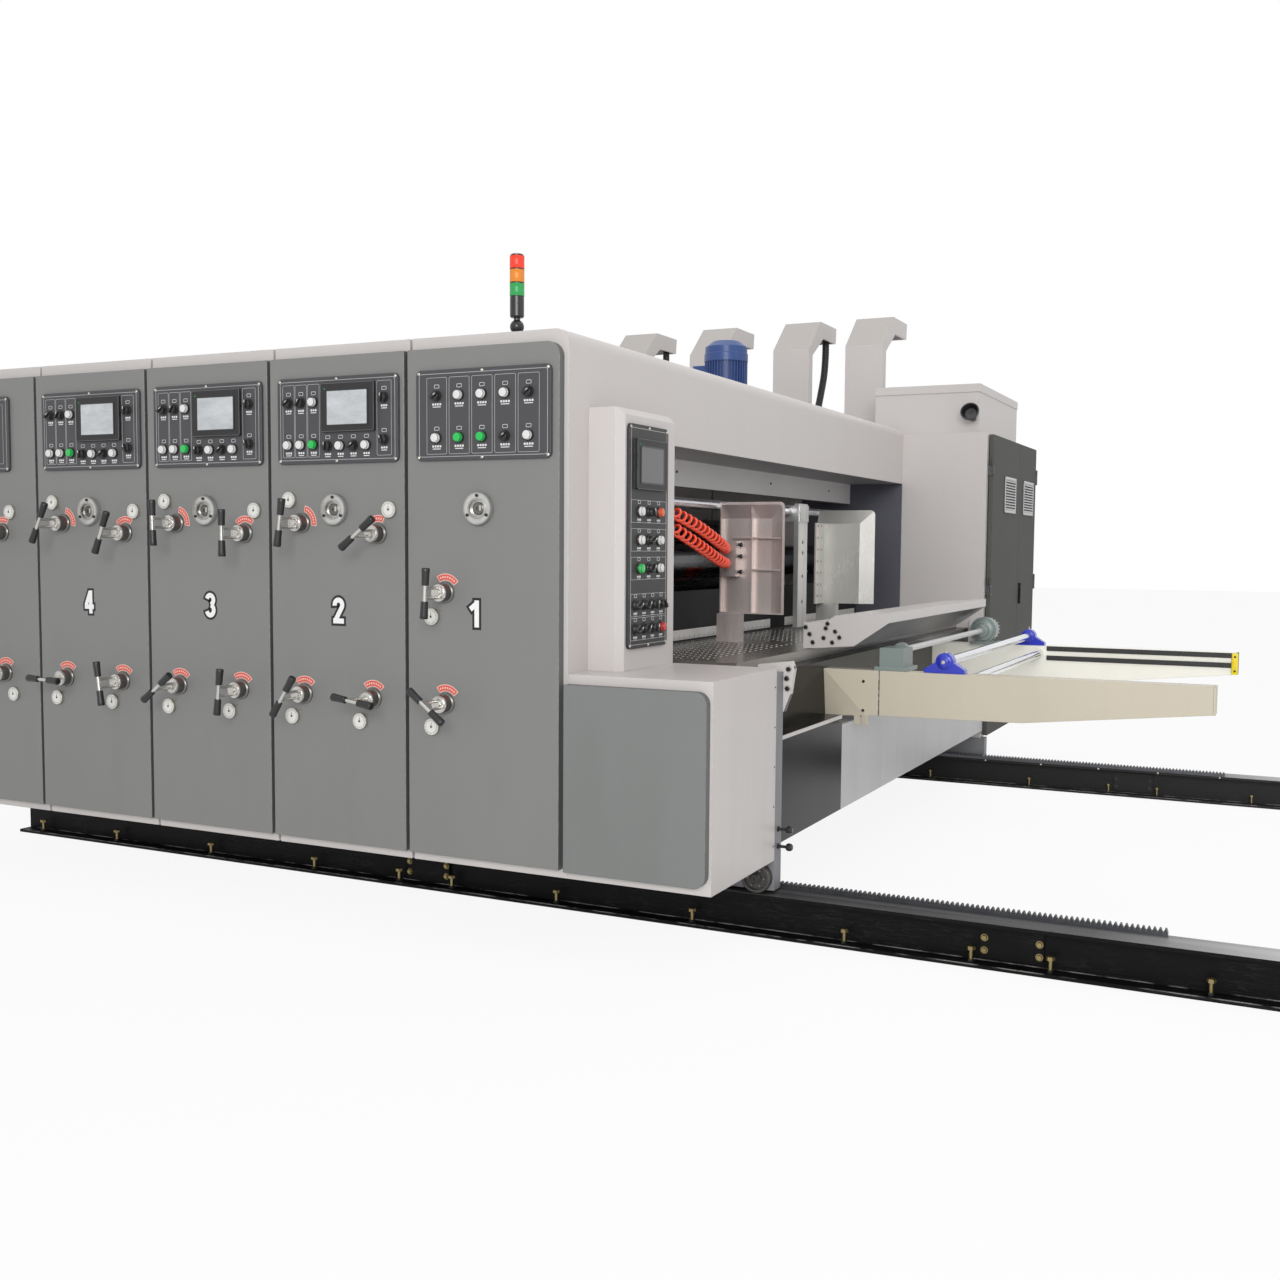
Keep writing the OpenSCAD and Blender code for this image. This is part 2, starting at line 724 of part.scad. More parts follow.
// Upright motor on the roof of the second section: flange, finned stator, fan cowl and terminal box
module roof_motor() {
    flange = 18;
    stator = motor_h - flange - cowl_h;
    core = motor_r - fin_h;
    color([0.22, 0.31, 0.58]) placed()
        translate([unit_x0(2) + motor_r + 22, back_y0 - 172, top_z]) {
            cylinder(r = motor_r, h = flange, $fn = 64);
            translate([0, 0, flange]) linear_extrude(stator) {
                circle(core, $fn = 64);
                for (i = [0 : fin_n - 1]) rotate(360 * i / fin_n) translate([core - 6, -fin_t / 2]) square([fin_h + 4, fin_t]);
            }
            translate([0, 0, flange + stator]) rotate_extrude($fn = 64)
                polygon([[0, 0], [motor_r, 0], [motor_r, cowl_h * 0.38], [motor_r * 0.97, cowl_h * 0.4], [motor_r * 0.96, cowl_h * 0.72],
                    [motor_r * 0.62, cowl_h], [0, cowl_h]]);
            block([-motor_r - 56, -core + 12], [-58, 58], [flange + stator * 0.55, flange + stator * 0.95]);
        }
}

// Feeder frame: operator cabinet and hood with one rounded edge, and the band behind the recess
module feeder_frame() {
    x0 = unit_x0(1);
    color([0.85, 0.83, 0.83]) placed() {
        slab([cab_y0, wall_y0]) soft_rect([x0, frame_out], [under_z, top_z], edge_r, [0, 0, 1, 0]);
        slab([wall_y0, back_y1]) soft_rect([x0, frame_out], [hood_z, top_z], edge_r, [0, 0, 1, 0]);
        block([frame_out - recess - band_t, frame_out - recess], [wall_y1, back_y0], [hood_z - band_h, hood_z]);
    }
}

module feeder_panel() {
    color([0.53, 0.54, 0.54]) placed()
        slab([0, door_t]) soft_rect([unit_x0(1) + door_margin, 0], [door_z, door_z + door_h], edge_r, [0, 0, 1, 0]);
}

module feeder_console() {
    mid = unit_mid(1) + console_shift;
    color([0.29, 0.29, 0.3]) placed() {
        console_plate(mid);
        for (i = [-2 : 2], z = [row_low + 8, row_high]) button(mid + i * 1.6 * column_w, z);
    }
}

module feeder_adjusters() {
    x0 = -unit_pitch;
    color([0.6, 0.6, 0.61]) placed() {
        t_handle(x0 + feeder_adj_x, door_z + feeder_adj_v, tilt_1[0]);
        t_handle(x0 + feeder_adj_x, door_z + lower_v, tilt_1[1]);
        dial(x0 + feeder_adj_x - dial_side, door_z + feeder_adj_v - dial_rise);
        dial(x0 + feeder_adj_x - dial_side, door_z + lower_v - dial_rise);
        sight(x0 + sight_x, door_z + sight_v);
    }
}

// Feed rolls and the bright tie rod over them
module feeder_rolls() {
    x = frame_out - recess - band_t - plate_r;
    ys = [wall_y1, back_y0];
    color([0.2, 0.2, 0.22]) placed() {
        rod_y(x, ys, table_z + 2 * press_r + 160, press_r, 48);
        rod_y(x, ys, table_z + roll_gap + press_r, press_r, 48);
        rod_y(tube_x, ys, tube_z, tube_r, 32);
    }
}

module feeder_duct() {
    color([0.87, 0.86, 0.86]) placed() duct_body(unit_mid(1) + feeder_duct_x);
}

module wheels() {
    color([0.1, 0.1, 0.1]) placed() track_wheels([unit_x0(1) + wheel_in, low_x - 55]);
}

// Feeder wall plates: tall behind the hood, low under the table
module wall_plates() {
    x0 = unit_x0(1);
    color([0.32, 0.33, 0.35]) placed() {
        slab([wall_y0, wall_y1])
            polygon([[x0, foot_z], [low_x, foot_z], [low_x, table_z - table_t / 2], [frame_out, table_z - table_t / 2],
                [frame_out, hood_z], [x0, hood_z]]);
        slab([back_y0, back_y1])
            polygon([[x0, foot_z], [low_x, foot_z], [low_x, house_z], [frame_out, house_z], [frame_out, hood_z], [x0, hood_z]]);
    }
}

// Pillar on the lower cabinet, with a bevelled outer edge
module control_pillar() {
    b = pillar_bevel;
    y1 = wall_y0 - 14;
    y0 = y1 - pillar_w;
    x1 = frame_out + pillar_t;
    color([0.86, 0.85, 0.84]) placed() {
        for (p = [hose_top[0], hose_low[0]]) rod_y(p[0], [y1, y1 + gland_l], p[2], hose_r * 0.7, 32);
        intersection() {
            block([frame_out, x1], [y0, y1], [low_z, low_z + pillar_h]);
            translate([0, 0, low_z]) linear_extrude(pillar_h)
                polygon([[frame_out, y0], [x1 - b, y0], [x1, y0 + b], [x1, y1], [frame_out, y1]]);
            slab([y0, y1])
                polygon([[frame_out, low_z], [x1, low_z], [x1, low_z + pillar_h - b], [x1 - b, low_z + pillar_h],
                    [frame_out, low_z + pillar_h]]);
        }
    }
}

module pillar_console() {
    x1 = frame_out + pillar_t;
    y = wall_y0 - 14 - pillar_w / 2 - post_side;
    z = low_z + (pillar_h - post_h) / 2 + post_rise;
    color([0.29, 0.29, 0.3]) placed() translate([x1, 0, 0]) rotate([90, 0, 90]) {
        linear_extrude(console_t) soft_rect([y - post_w / 2, y + post_w / 2], [z, z + post_h], console_r);
        translate([0, 0, console_t]) linear_extrude(screen_t)
            soft_rect([y - screen_w / 2, y + screen_w / 2], [z + post_h - 44 - screen_h, z + post_h - 44], 6);
        for (row = post_rows, i = [0 : row[1] - 1])
            translate([y + (i - (row[1] - 1) / 2) * row[2], z + row[0], console_t])
                cylinder(r = button_r, h = button_l, $fn = 24);
    }
}

module lower_cabinet() {
    color([0.86, 0.85, 0.84]) placed() block([frame_out, low_x], [cab_y0, wall_y0], [under_z, low_z]);
}

module lower_door() {
    color([0.53, 0.54, 0.54]) placed()
        slab([0, door_t]) soft_rect([frame_out + 2, low_x - 8], [door_z - 4, low_z - strip_h], low_r, [0, 1, 1, 0]);
}

module feed_table() {
    x0 = frame_out - recess + 20;
    color([0.12, 0.12, 0.13]) placed() {
        block([frame_out - recess - plate_r, table_x], [wall_y1, back_y0], [table_z - table_t, table_z]);
        slab([wall_y1, back_y0])
            polygon([[x0, table_z], [x0 + 24, table_z], [x0 + 24, table_z + 60], [x0 + 8, table_z + upstand_h], [x0, table_z + upstand_h]]);
    }
}

// Box beam along the table's front edge, with a sloped underside
module table_beam() {
    t = table_z;
    x = table_x;
    color([0.82, 0.81, 0.8]) placed()
        slab([mid_y - arm_y - 15, mid_y + arm_y + 15])
            polygon([[x - 25, t], [x + 175, t + 17], [x + 308, t + 108], [x + 308, t + 145], [x + 98, t + 130],
                [x + 62, t + 103], [x - 25, t + 100]]);
    color([0.82, 0.81, 0.8]) placed()
        for (y = [[wall_y1, wall_y1 + 26], [back_y0 - 26, back_y0]]) slab(y)
            polygon([[x + 75, t], [low_x + 27, t + 15], [low_x + 36, t - 11], [low_x + 24, t - 93], [low_x + 2, t - 152],
                [low_x - 25, t - 163], [low_x - 50, t - 150], [x + 75, t - 30]]);
}

// Beam between the wall plates that carries the arms
module cross_member() {
    color([0.8, 0.77, 0.7]) placed()
        block([table_x - 10, table_x + 65], [wall_y1, back_y0], [arm_z - arm_h - 36, table_z - table_t]);
}

// Solid pan with its face at y = 0: the top and outer sides slope out towards the rim
module pan_solid(l, h, d) {
    k = guide_bevel / guide_rim;
    e = k * (d - guide_rim);
    difference() {
        slab([0, d]) soft_rect([0, l + e], [0, h + e], guide_r, [0, 0, 1, 0]);
        translate([-1, 0, 0]) rotate([90, 0, 90]) linear_extrude(l + e + 2)
            polygon([[-1, h - guide_bevel - k], [d + 1, h - guide_bevel + k * (d + 1)], [d + 1, h + 2 * guide_bevel],
                [-1, h + 2 * guide_bevel]]);
        translate([0, 0, -1]) linear_extrude(h + e + 2)
            polygon([[l - guide_bevel - k, -1], [l - guide_bevel + k * (d + 1), d + 1], [l + 2 * guide_bevel, d + 1],
                [l + 2 * guide_bevel, -1]]);
    }
}

// Folded sheet guide: a pan with one upright and two level ribs inside
module guide_pan() {
    t = guide_t;
    w = t * sqrt(1 + pow(guide_bevel / guide_rim, 2));
    l = guide_l;
    h = guide_h;
    difference() {
        pan_solid(l, h, guide_rim);
        intersection() {
            translate([t, 0, t]) pan_solid(l - t - w, h - t - w, guide_rim + 1);
            block([0, l], [t, guide_rim + 1], [0, h]);
        }
    }
    intersection() {
        pan_solid(l, h, guide_rim);
        union() {
            block([l * 0.48, l * 0.48 + t], [0, guide_rim - 4], [0, h]);
            block([l * 0.19, l], [0, guide_rim - 4], [h * 0.675, h * 0.675 + t]);
            block([l * 0.48, l], [0, guide_rim - 4], [h * 0.39, h * 0.39 + t]);
        }
    }
}

// Side guides on their posts, the valve block on the near one and the punched strip on the far one
module side_guides() {
    y0 = mid_y - guide_y;
    y1 = mid_y + guide_y;
    color([0.75, 0.73, 0.71]) placed() {
        translate([guide_x, y0, guide_z]) mirror([0, 1, 0]) guide_pan();
        block([guide_x, guide_x + post_x], [y0 - post_y, y0], [table_z, guide_z]);
        block([guide_x + 15, guide_x + 80], [valve_y, y0 - guide_t / 2], [hose_low[0][2] - 180, hose_top[0][2] - 90]);
        translate([guide_x, y1, guide_z]) guide_pan();
        block([guide_x, guide_x + post_x], [y1, y1 + post_y], [table_z, guide_z]);
        difference() {
            block([guide_x + 29, guide_x + 37], [y1 - 122, y1 + guide_t / 2], [guide_z, guide_z + guide_h * 0.86]);
            for (i = [0 : 6], y = [y1 - 95, y1 - 45])
                translate([guide_x + 28, y, guide_z + 35 + i * guide_h * 0.125]) rotate([0, 90, 0]) cylinder(r = 7, h = 10, $fn = 24);
        }
    }
}

// Upright gate bar clamped on the cross tube
module front_gate() {
    x = tube_x + tube_r + 12;
    y = mid_y + 255;
    color([0.78, 0.78, 0.78]) placed() difference() {
        union() {
            block([x, x + gate_t], [y, y + gate_w], [table_z + 12, tube_z + tube_r + 14]);
            block([tube_x - tube_r - 12, x + gate_t + 8], [y + 8, y + gate_w - 8], [tube_z - tube_r - 30, tube_z + tube_r + 6]);
        }
        rod_y(tube_x, [y - 1, y + gate_w + 1], tube_z, tube_r + clamp_clear);
        for (z = [table_z + 130, table_z + 250, table_z + 360, table_z + 410])
            translate([x - 1, y + gate_w / 2, z]) rotate([0, 90, 0]) cylinder(r = 9, h = gate_t + 2, $fn = 24);
    }
}

// Dark glossy cover below the table, with the shelf it hangs from
module front_cover() {
    color([0.08, 0.08, 0.09]) placed() {
        block([low_x - 25, low_x - 13], [wall_y1, mid_y - arm_y - arm_t], [under_z + 40, arm_z - arm_h]);
        block([table_x + 65, low_x - 13], [wall_y1, mid_y - arm_y - arm_t], [arm_z - arm_h - 12, arm_z - arm_h]);
    }
}

module lower_cover() {
    color([0.7, 0.7, 0.71]) placed() {
        block([low_x - 25, low_x - 13], [mid_y - arm_y - arm_t, back_y0], [under_z + 40, arm_z - arm_h - 40]);
        block([table_x + 65, low_x - 13], [mid_y - arm_y - arm_t, back_y0], [arm_z - arm_h - 40, arm_z - arm_h - 36]);
    }
}

// Side view of a lift arm
module arm_shape() {
    polygon([[table_x + 65, arm_z - arm_h - 34], [table_x + 140, arm_z - arm_h - 8], [table_x + 260, arm_z - arm_h],
        [taper_x, arm_z - arm_h + 6], [arm_x, arm_z - arm_tip], [arm_x, arm_z], [table_x + 65, arm_z]]);
}

// One lift arm: seam groove and folded root bracket on its outer face, lug below
module lift_arm() {
    root = table_x + 65;
    difference() {
        union() {
            slab([-arm_t / 2, arm_t / 2]) arm_shape();
            slab([-arm_t / 2, -arm_t / 2 + 14])
                polygon([[root + 118, arm_z - arm_h + 12], [root + 172, arm_z - arm_h + 12], [root + 172, arm_z - arm_h - 40],
                    [root + 118, arm_z - arm_h - 40]]);
        }
        block([seam_x, seam_x + seam_w], [-arm_t, -arm_t / 2 + 2], [arm_z - arm_h - 50, arm_z + 1]);
        translate([root, -arm_t / 2, arm_z]) rotate([0, 46, 0]) rotate([12, 0, 0])
            translate([-60, -60, -260]) cube([420, 60, 260]);
        block([root + 143, root + 149], [-arm_t, 0], [arm_z - arm_h - 50, arm_z - arm_h - 2]);
    }
}

module lift_arms() {
    color([0.8, 0.77, 0.7]) placed() {
        translate([0, mid_y - arm_y, 0]) lift_arm();
        translate([0, mid_y + arm_y, 0]) mirror([0, 1, 0]) lift_arm();
    }
}

// Dark strips along the arms' inner sides and the caps on the arms' ends
module arm_strips() {
    color([0.07, 0.07, 0.07]) placed()
        for (side = [-1, 1]) translate([0, mid_y + side * arm_y, 0]) mirror([0, side > 0 ? 1 : 0, 0]) {
            for (z = [arm_z - arm_strip_h, arm_z - 3 * arm_strip_h])
                block([shaft_x + 90, arm_x], [arm_t / 2, arm_t / 2 + arm_strip_t], [z, z + arm_strip_h]);
            block([arm_x, arm_x + arm_cap_t], [-arm_t / 2, arm_t / 2 + arm_strip_t], [arm_z - arm_tip, arm_z]);
        }
}

// Bright shaft across the arms and the tie tube between them
module cross_shafts() {
    color([0.8, 0.8, 0.82]) placed() {
        rod_y(shaft_x, [mid_y - arm_y - arm_t / 2, mid_y + arm_y + arm_t / 2], arm_z + shaft_up, shaft_r);
        rod_y(shaft_x + 60, [mid_y - arm_y + arm_t / 2, mid_y + arm_y - arm_t / 2], arm_z - 2 * shaft_r, shaft_r);
    }
}

// Pillow blocks on the arms
module bearings() {
    color([0.16, 0.2, 0.72]) placed()
        for (y = [mid_y - arm_y, mid_y + arm_y])
            slab([y - arm_t / 2 + 14, y + arm_t / 2 - 14]) difference() {
                union() {
                    translate([shaft_x, arm_z + shaft_up]) circle(shaft_r + 16, $fn = 48);
                    polygon([[shaft_x - 75, arm_z], [shaft_x + 75, arm_z], [shaft_x + 75, arm_z + 14],
                        [shaft_x + shaft_r + 14, arm_z + shaft_up], [shaft_x - shaft_r - 14, arm_z + shaft_up],
                        [shaft_x - 75, arm_z + 14]]);
                }
                translate([shaft_x, arm_z + shaft_up]) circle(shaft_r + shaft_clear, $fn = 48);
            }
}

// Lift gearbox on the near arm, geared motor on the far arm, and the shaft between them
module lift_drive() {
    x = table_x + 320;
    z = arm_z + 68;
    y0 = mid_y - arm_y;
    y1 = mid_y + arm_y;
    r = 62;
    color([0.5, 0.56, 0.54]) placed() {
        block([x - 62, x + 62], [y0 - 24, y0 + 124], [arm_z, arm_z + 14]);
        block([x - 46, x + 46], [y0 - 14, y0 + 112], [arm_z + 14, arm_z + 84]);
        rod_y(x, [y0 + 112, y0 + 132], z, 30);
        rod_y(x, [y0 + 130, y1 - 160], z, 12, 24);
        block([x - 60, x + 60], [y1 - 96, y1 + arm_t / 2], [arm_z, arm_z + 14]);
        slab([y1 - 90, y1 - 40]) translate([x, z]) circle(r, $fn = 48);
        slab([y1 - 40, y1 + arm_t / 2]) translate([x, z]) {
            circle(r - 12, $fn = 48);
            for (i = [0 : 19]) rotate(18 * i) translate([r - 18, -2.5]) square([12, 5]);
        }
        block([x - 40, x + 40], [y1 - 84, y1 - 46], [arm_z + 10, z]);
        translate([x, y1 - 90, z]) rotate([90, 0, 0]) rotate_extrude($fn = 48)
            polygon([[0, 0], [r - 10, 0], [r - 14, 14], [34, 18], [30, 48], [22, 52], [22, 71], [0, 71]]);
    }
}

// Fixed half of a lift-off hinge, with its pin
module hinge_foot(y, z) {
    block([house_x, leaf_x1], [y - barrel_r / 2, y + barrel_r / 2], [z - hinge_l, z]);
    translate([leaf_x1, y, z - hinge_l]) cylinder(r = barrel_r, h = hinge_l, $fn = 32);
    translate([leaf_x1, y, z - 1]) cylinder(r = hinge_pin, h = hinge_l - 4, $fn = 24);
}

// Turning half of a lift-off hinge; side says where its door lies
module hinge_cap(y, z, side) {
    difference() {
        union() {
            translate([leaf_x1, y, z + hinge_clear]) cylinder(r = barrel_r, h = hinge_l, $fn = 32);
            block([leaf_x1 - barrel_r, leaf_x1], [min(y, y + side * (barrel_r + 4)), max(y, y + side * (barrel_r + 4))],
                [z + hinge_clear, z + hinge_clear + hinge_l]);
        }
        translate([leaf_x1, y, z]) cylinder(r = hinge_pin + hinge_clear, h = hinge_l - 3, $fn = 24);
    }
}

// Housing behind the rear wall plate, and the electric cabinet in front of it
module drive_housing() {
    color([0.86, 0.85, 0.84]) placed() {
        block([frame_out, house_x], [back_y0, house_y1], [house_z, drive_z]);
        block([unit_x0(1), frame_out], [back_y1, house_y1], [under_z, drive_z]);
        for (z = hinge_zs) {
            hinge_foot(leaf_y0 - barrel_r, z);
            hinge_foot(leaf_y1 + barrel_r, z);
        }
    }
}

module top_box() {
    color([0.86, 0.85, 0.84]) placed()
        union() {
            block([-182, top_x], [back_y1 + 66, back_y1 + 66 + top_d], [drive_z, drive_z + top_h - 2]);
            block([-186, top_x + 4], [back_y1 + 62, back_y1 + 70 + top_d], [drive_z + top_h - 44, drive_z + top_h]);
        }
}

// Swivelling sounder on the box: neck, ball joint and an open bell
module horn() {
    y = back_y1 + 66;
    color([0.06, 0.06, 0.06]) placed() {
        rod_y(top_x - 30, [y - 30, y], drive_z + 86, 16, 24);
        translate([top_x - 30, y - 40, drive_z + 94]) sphere(r = 24, $fn = 32);
        translate([top_x - 30, y - 40, drive_z + 94]) rotate([68, 0, 0]) rotate_extrude($fn = 48)
            polygon([[0, 8], [26, 8], [34, 26], [50, 54], [50, 64], [44, 64], [30, 36], [0, 30]]);
    }
}

// Lamp column on a ball foot, with a groove under each lamp
module signal_tower() {
    r = tower_r;
    body = tower_h - 3 * lamp_h - 6;
    lamps = [for (i = [0 : 2]) let (z = body + i * lamp_h) each [[r - 2, z], [r - 2, z + 3], [r, z + 3], [r, z + lamp_h]]];
    color([0.1, 0.1, 0.1]) placed() translate([-209, 100, top_z]) {
        translate([0, 0, 6]) cylinder(r = r * 0.45, h = 50, $fn = 32);
        cylinder(r = r * 0.7, h = 10, $fn = 32);
        translate([0, 0, r + 4]) sphere(r = r, $fn = 40);
        rotate_extrude($fn = 48)
            polygon(concat([[0, 54], [r - 3, 54], [r, 58], [r, body]], lamps, [[r - 2, tower_h - 6], [r - 2, tower_h - 2], [r - 6, tower_h], [0, tower_h]]));
    }
}

// Hose between its gland on the pillar and the valve block, straight at both ends
module hose(way) {
    a = way[0];
    b = way[len(way) - 1];
    tube(concat([[a[0], wall_y0 - 14 + gland_l, a[2]]], smooth_route(way, 5), [[b[0], valve_y, b[2]]]), hose_r);
}

module upper_hose() {
    color([0.94, 0.3, 0.16]) placed() hose(hose_top);
}

module lower_hose() {
    color([0.94, 0.3, 0.16]) placed() hose(hose_low);
}

// Louvred vent standing on a cabinet door
module vent(mid) {
    z1 = leaf_z1 - vent_drop;
    step = vent_h / (vent_n + 1);
    difference() {
        block([leaf_x1, leaf_x1 + vent_t], [mid - vent_w / 2, mid + vent_w / 2], [z1 - vent_h, z1]);
        for (i = [0 : vent_n - 1])
            block([leaf_x1 + 1, leaf_x1 + vent_t + 1], [mid - vent_w / 2 + 22, mid + vent_w / 2 - 22],
                [z1 - step * (i + 1) - step * 0.25, z1 - step * (i + 1) + step * 0.25]);
    }
}

// Electric cabinet doors on lift-off hinges
module left_cabinet_door() {
    color([0.33, 0.34, 0.34]) placed() {
        block([leaf_x0, leaf_x1], [leaf_y0, leaf_y0 + leaf_w], [leaf_z0, leaf_z1]);
        vent(leaf_y0 + leaf_w - 290);
        for (z = hinge_zs) hinge_cap(leaf_y0 - barrel_r, z, 1);
    }
}

module right_cabinet_door() {
    color([0.33, 0.34, 0.34]) placed() {
        block([leaf_x0, leaf_x1], [leaf_y0 + leaf_w + leaf_gap, leaf_y1], [leaf_z0, leaf_z1]);
        vent((leaf_y0 + leaf_w + leaf_gap + leaf_y1) / 2);
        block([leaf_x1, leaf_x1 + 12], [leaf_y0 + leaf_w + leaf_gap + 24, leaf_y0 + leaf_w + leaf_gap + 46],
            [(leaf_z0 + leaf_z1) / 2 - 120, (leaf_z0 + leaf_z1) / 2]);
        for (z = hinge_zs) hinge_cap(leaf_y1 + barrel_r, z, -1);
    }
}

rails();
racks();
end_frame();
end_panel();
end_console();
end_adjusters();
end_rolls();
unit_frame(4);  // unit_4_frame
unit_panel(4);  // unit_4_panel
unit_console(4);  // unit_4_console
unit_adjusters(4, tilt_4);  // unit_4_adjusters
unit_rolls(4);  // unit_4_rolls
unit_duct(4);  // unit_4_duct
unit_frame(3);  // unit_3_frame
unit_panel(3);  // unit_3_panel
unit_console(3);  // unit_3_console
unit_adjusters(3, tilt_3);  // unit_3_adjusters
unit_rolls(3);  // unit_3_rolls
unit_duct(3);  // unit_3_duct
unit_frame(2);  // unit_2_frame
unit_panel(2);  // unit_2_panel
unit_console(2);  // unit_2_console
unit_adjusters(2, tilt_2);  // unit_2_adjusters
unit_rolls(2);  // unit_2_rolls
unit_duct(2);  // unit_2_duct
roof_motor();
feeder_frame();
feeder_panel();
feeder_console();
feeder_adjusters();
feeder_rolls();
feeder_duct();
wheels();
wall_plates();
control_pillar();
pillar_console();
lower_cabinet();
lower_door();
feed_table();
table_beam();
cross_member();
side_guides();
front_gate();
front_cover();
lower_cover();
lift_arms();
arm_strips();
cross_shafts();
bearings();
lift_drive();
drive_housing();
top_box();
horn();
signal_tower();
upper_hose();
lower_hose();
left_cabinet_door();
right_cabinet_door();
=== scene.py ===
"""Looks of a corrugated-board flexo line: feeder, printing sections and end section on floor rails.

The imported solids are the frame. This script lights them, gives each its finish and adds the small
pieces: buttons, screens, dials, grips, labels, bolts, lenses, rollers and the coiled air hoses.
Places are given in the drawing's millimetres, as in the part's source; piece() puts them into the frame.
"""
import math

import bpy
import numpy as np
from mathutils import Matrix, Vector


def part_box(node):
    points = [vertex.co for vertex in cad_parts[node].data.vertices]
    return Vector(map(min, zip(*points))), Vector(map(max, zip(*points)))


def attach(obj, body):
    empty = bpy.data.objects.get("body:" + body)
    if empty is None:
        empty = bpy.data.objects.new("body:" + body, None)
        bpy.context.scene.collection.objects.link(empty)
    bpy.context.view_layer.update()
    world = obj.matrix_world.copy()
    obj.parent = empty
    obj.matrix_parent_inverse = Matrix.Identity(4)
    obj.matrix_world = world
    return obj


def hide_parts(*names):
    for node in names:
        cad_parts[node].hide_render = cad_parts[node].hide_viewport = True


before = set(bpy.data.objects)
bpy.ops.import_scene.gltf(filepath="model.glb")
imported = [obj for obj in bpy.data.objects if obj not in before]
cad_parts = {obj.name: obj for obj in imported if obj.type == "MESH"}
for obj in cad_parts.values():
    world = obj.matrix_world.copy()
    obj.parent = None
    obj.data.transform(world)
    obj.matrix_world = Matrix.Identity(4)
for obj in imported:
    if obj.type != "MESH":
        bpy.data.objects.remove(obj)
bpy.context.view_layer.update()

# Sizes repeated from the part's source, in millimetres
ORIGIN = np.array([190.5, 2482.0, 0.0])
PITCH = 558.0
DOOR_FOOT = 281.0
TOP = 1921.0
CONSOLE_FOOT = 1533.0
CONSOLE_W = 488.0
CONSOLE_H = 280.0
CONSOLE_T = 10.0
BUTTON_R = 14.0
BUTTON_L = 16.0
ROLL_FAR = 3772.0
TABLE_TOP = 885.0
RAIL_START = -3012.0
RAIL_LEN = 2135.0
RAIL_H = 142.0
RAIL_W = 125.0
RAIL_SIDES = (520.0, 3742.0)
FLANGE = 12.0
ARM_YS = (1363.5, 3023.5)
ARM_TOP = 816.0
SHAFT_X = 848.0

# Camera of the photograph, worked out from its vanishing lines
EYE = (1.8209, -6.0189, 1.2711)
YAW = math.radians(26.1708)
TILT = math.radians(-3.9803)
ROLL = math.radians(0.4166)
FOCAL_PIXELS = 1348.9424
PICTURE_PIXELS = 1280.0
SENSOR = 36.0


def aim_camera():
    """Camera axes: ahead from yaw and tilt, right level, both turned by the roll about the line of sight."""
    ahead = Vector((-math.sin(YAW) * math.cos(TILT), math.cos(YAW) * math.cos(TILT), math.sin(TILT)))
    right = Vector((math.cos(YAW), math.sin(YAW), 0.0))
    up = right.cross(ahead)
    side = right * math.cos(ROLL) + up * math.sin(ROLL)
    crown = up * math.cos(ROLL) - right * math.sin(ROLL)
    lens = bpy.data.cameras.new("photo_camera")
    lens.sensor_width = SENSOR
    lens.sensor_fit = "HORIZONTAL"
    lens.lens = FOCAL_PIXELS / PICTURE_PIXELS * SENSOR
    lens.clip_end = 200.0
    camera = bpy.data.objects.new("photo_camera", lens)
    camera.matrix_world = Matrix.Translation(EYE) @ Matrix((side, crown, -ahead)).transposed().to_4x4()
    bpy.context.collection.objects.link(camera)
    bpy.context.scene.camera = camera


aim_camera()


# Node helpers

def tint(red, green, blue):
    """Linear colour of a screen colour given from 0 to 255."""
    channels = np.array([red, green, blue]) / 255.0
    linear = np.where(channels <= 0.04045, channels / 12.92, ((channels + 0.055) / 1.055) ** 2.4)
    return tuple(float(c) for c in linear) + (1.0,)


def fill(tree, made, inputs):
    """A node with its inputs set: constants are written, sockets are linked."""
    for key, value in inputs.items():
        if isinstance(value, bpy.types.NodeSocket):
            tree.links.new(value, made.inputs[key])
        else:
            made.inputs[key].default_value = value
    return made


def node(tree, kind, inputs=None, **settings):
    """One node: settings are its own properties, inputs are constants or sockets to link."""
    made = tree.nodes.new("ShaderNode" + kind)
    for key, value in settings.items():
        setattr(made, key, value)
    return fill(tree, made, inputs or {})


def sums(tree, operation, first, second=0.5, third=0.5):
    """One Math node's result."""
    return node(tree, "Math", {0: first, 1: second, 2: third}, operation=operation).outputs[0]


def mixed(tree, share, first, second):
    """Colour between first and second."""
    return node(tree, "Mix", {0: share, 6: first, 7: second}, data_type="RGBA").outputs[2]


def ramp(tree, value, start, stop, low=0.0, high=1.0):
    """The value stretched evenly: start gives low, stop gives high, and it is held beyond them."""
    return node(tree, "MapRange", {0: value, 1: start, 2: stop, 3: low, 4: high}).outputs[0]


def spot(tree):
    """The place on the piece, in its Object coordinates."""
    return node(tree, "TexCoord").outputs["Object"]


def pulled(tree, stretch):
    """The place on the piece, stretched along each axis."""
    return node(tree, "VectorMath", {0: spot(tree), 1: stretch}, operation="MULTIPLY").outputs[0]


def noise(tree, place, size, detail, **more):
    """Noise at a place, with more of the node's inputs where needed."""
    return node(tree, "TexNoise", {"Vector": place, "Scale": size, "Detail": detail, **more}).outputs[0]


def scaled(tree, color, gain):
    """A colour times a gain."""
    return node(tree, "VectorMath", {0: color, "Scale": gain}, operation="SCALE").outputs[0]


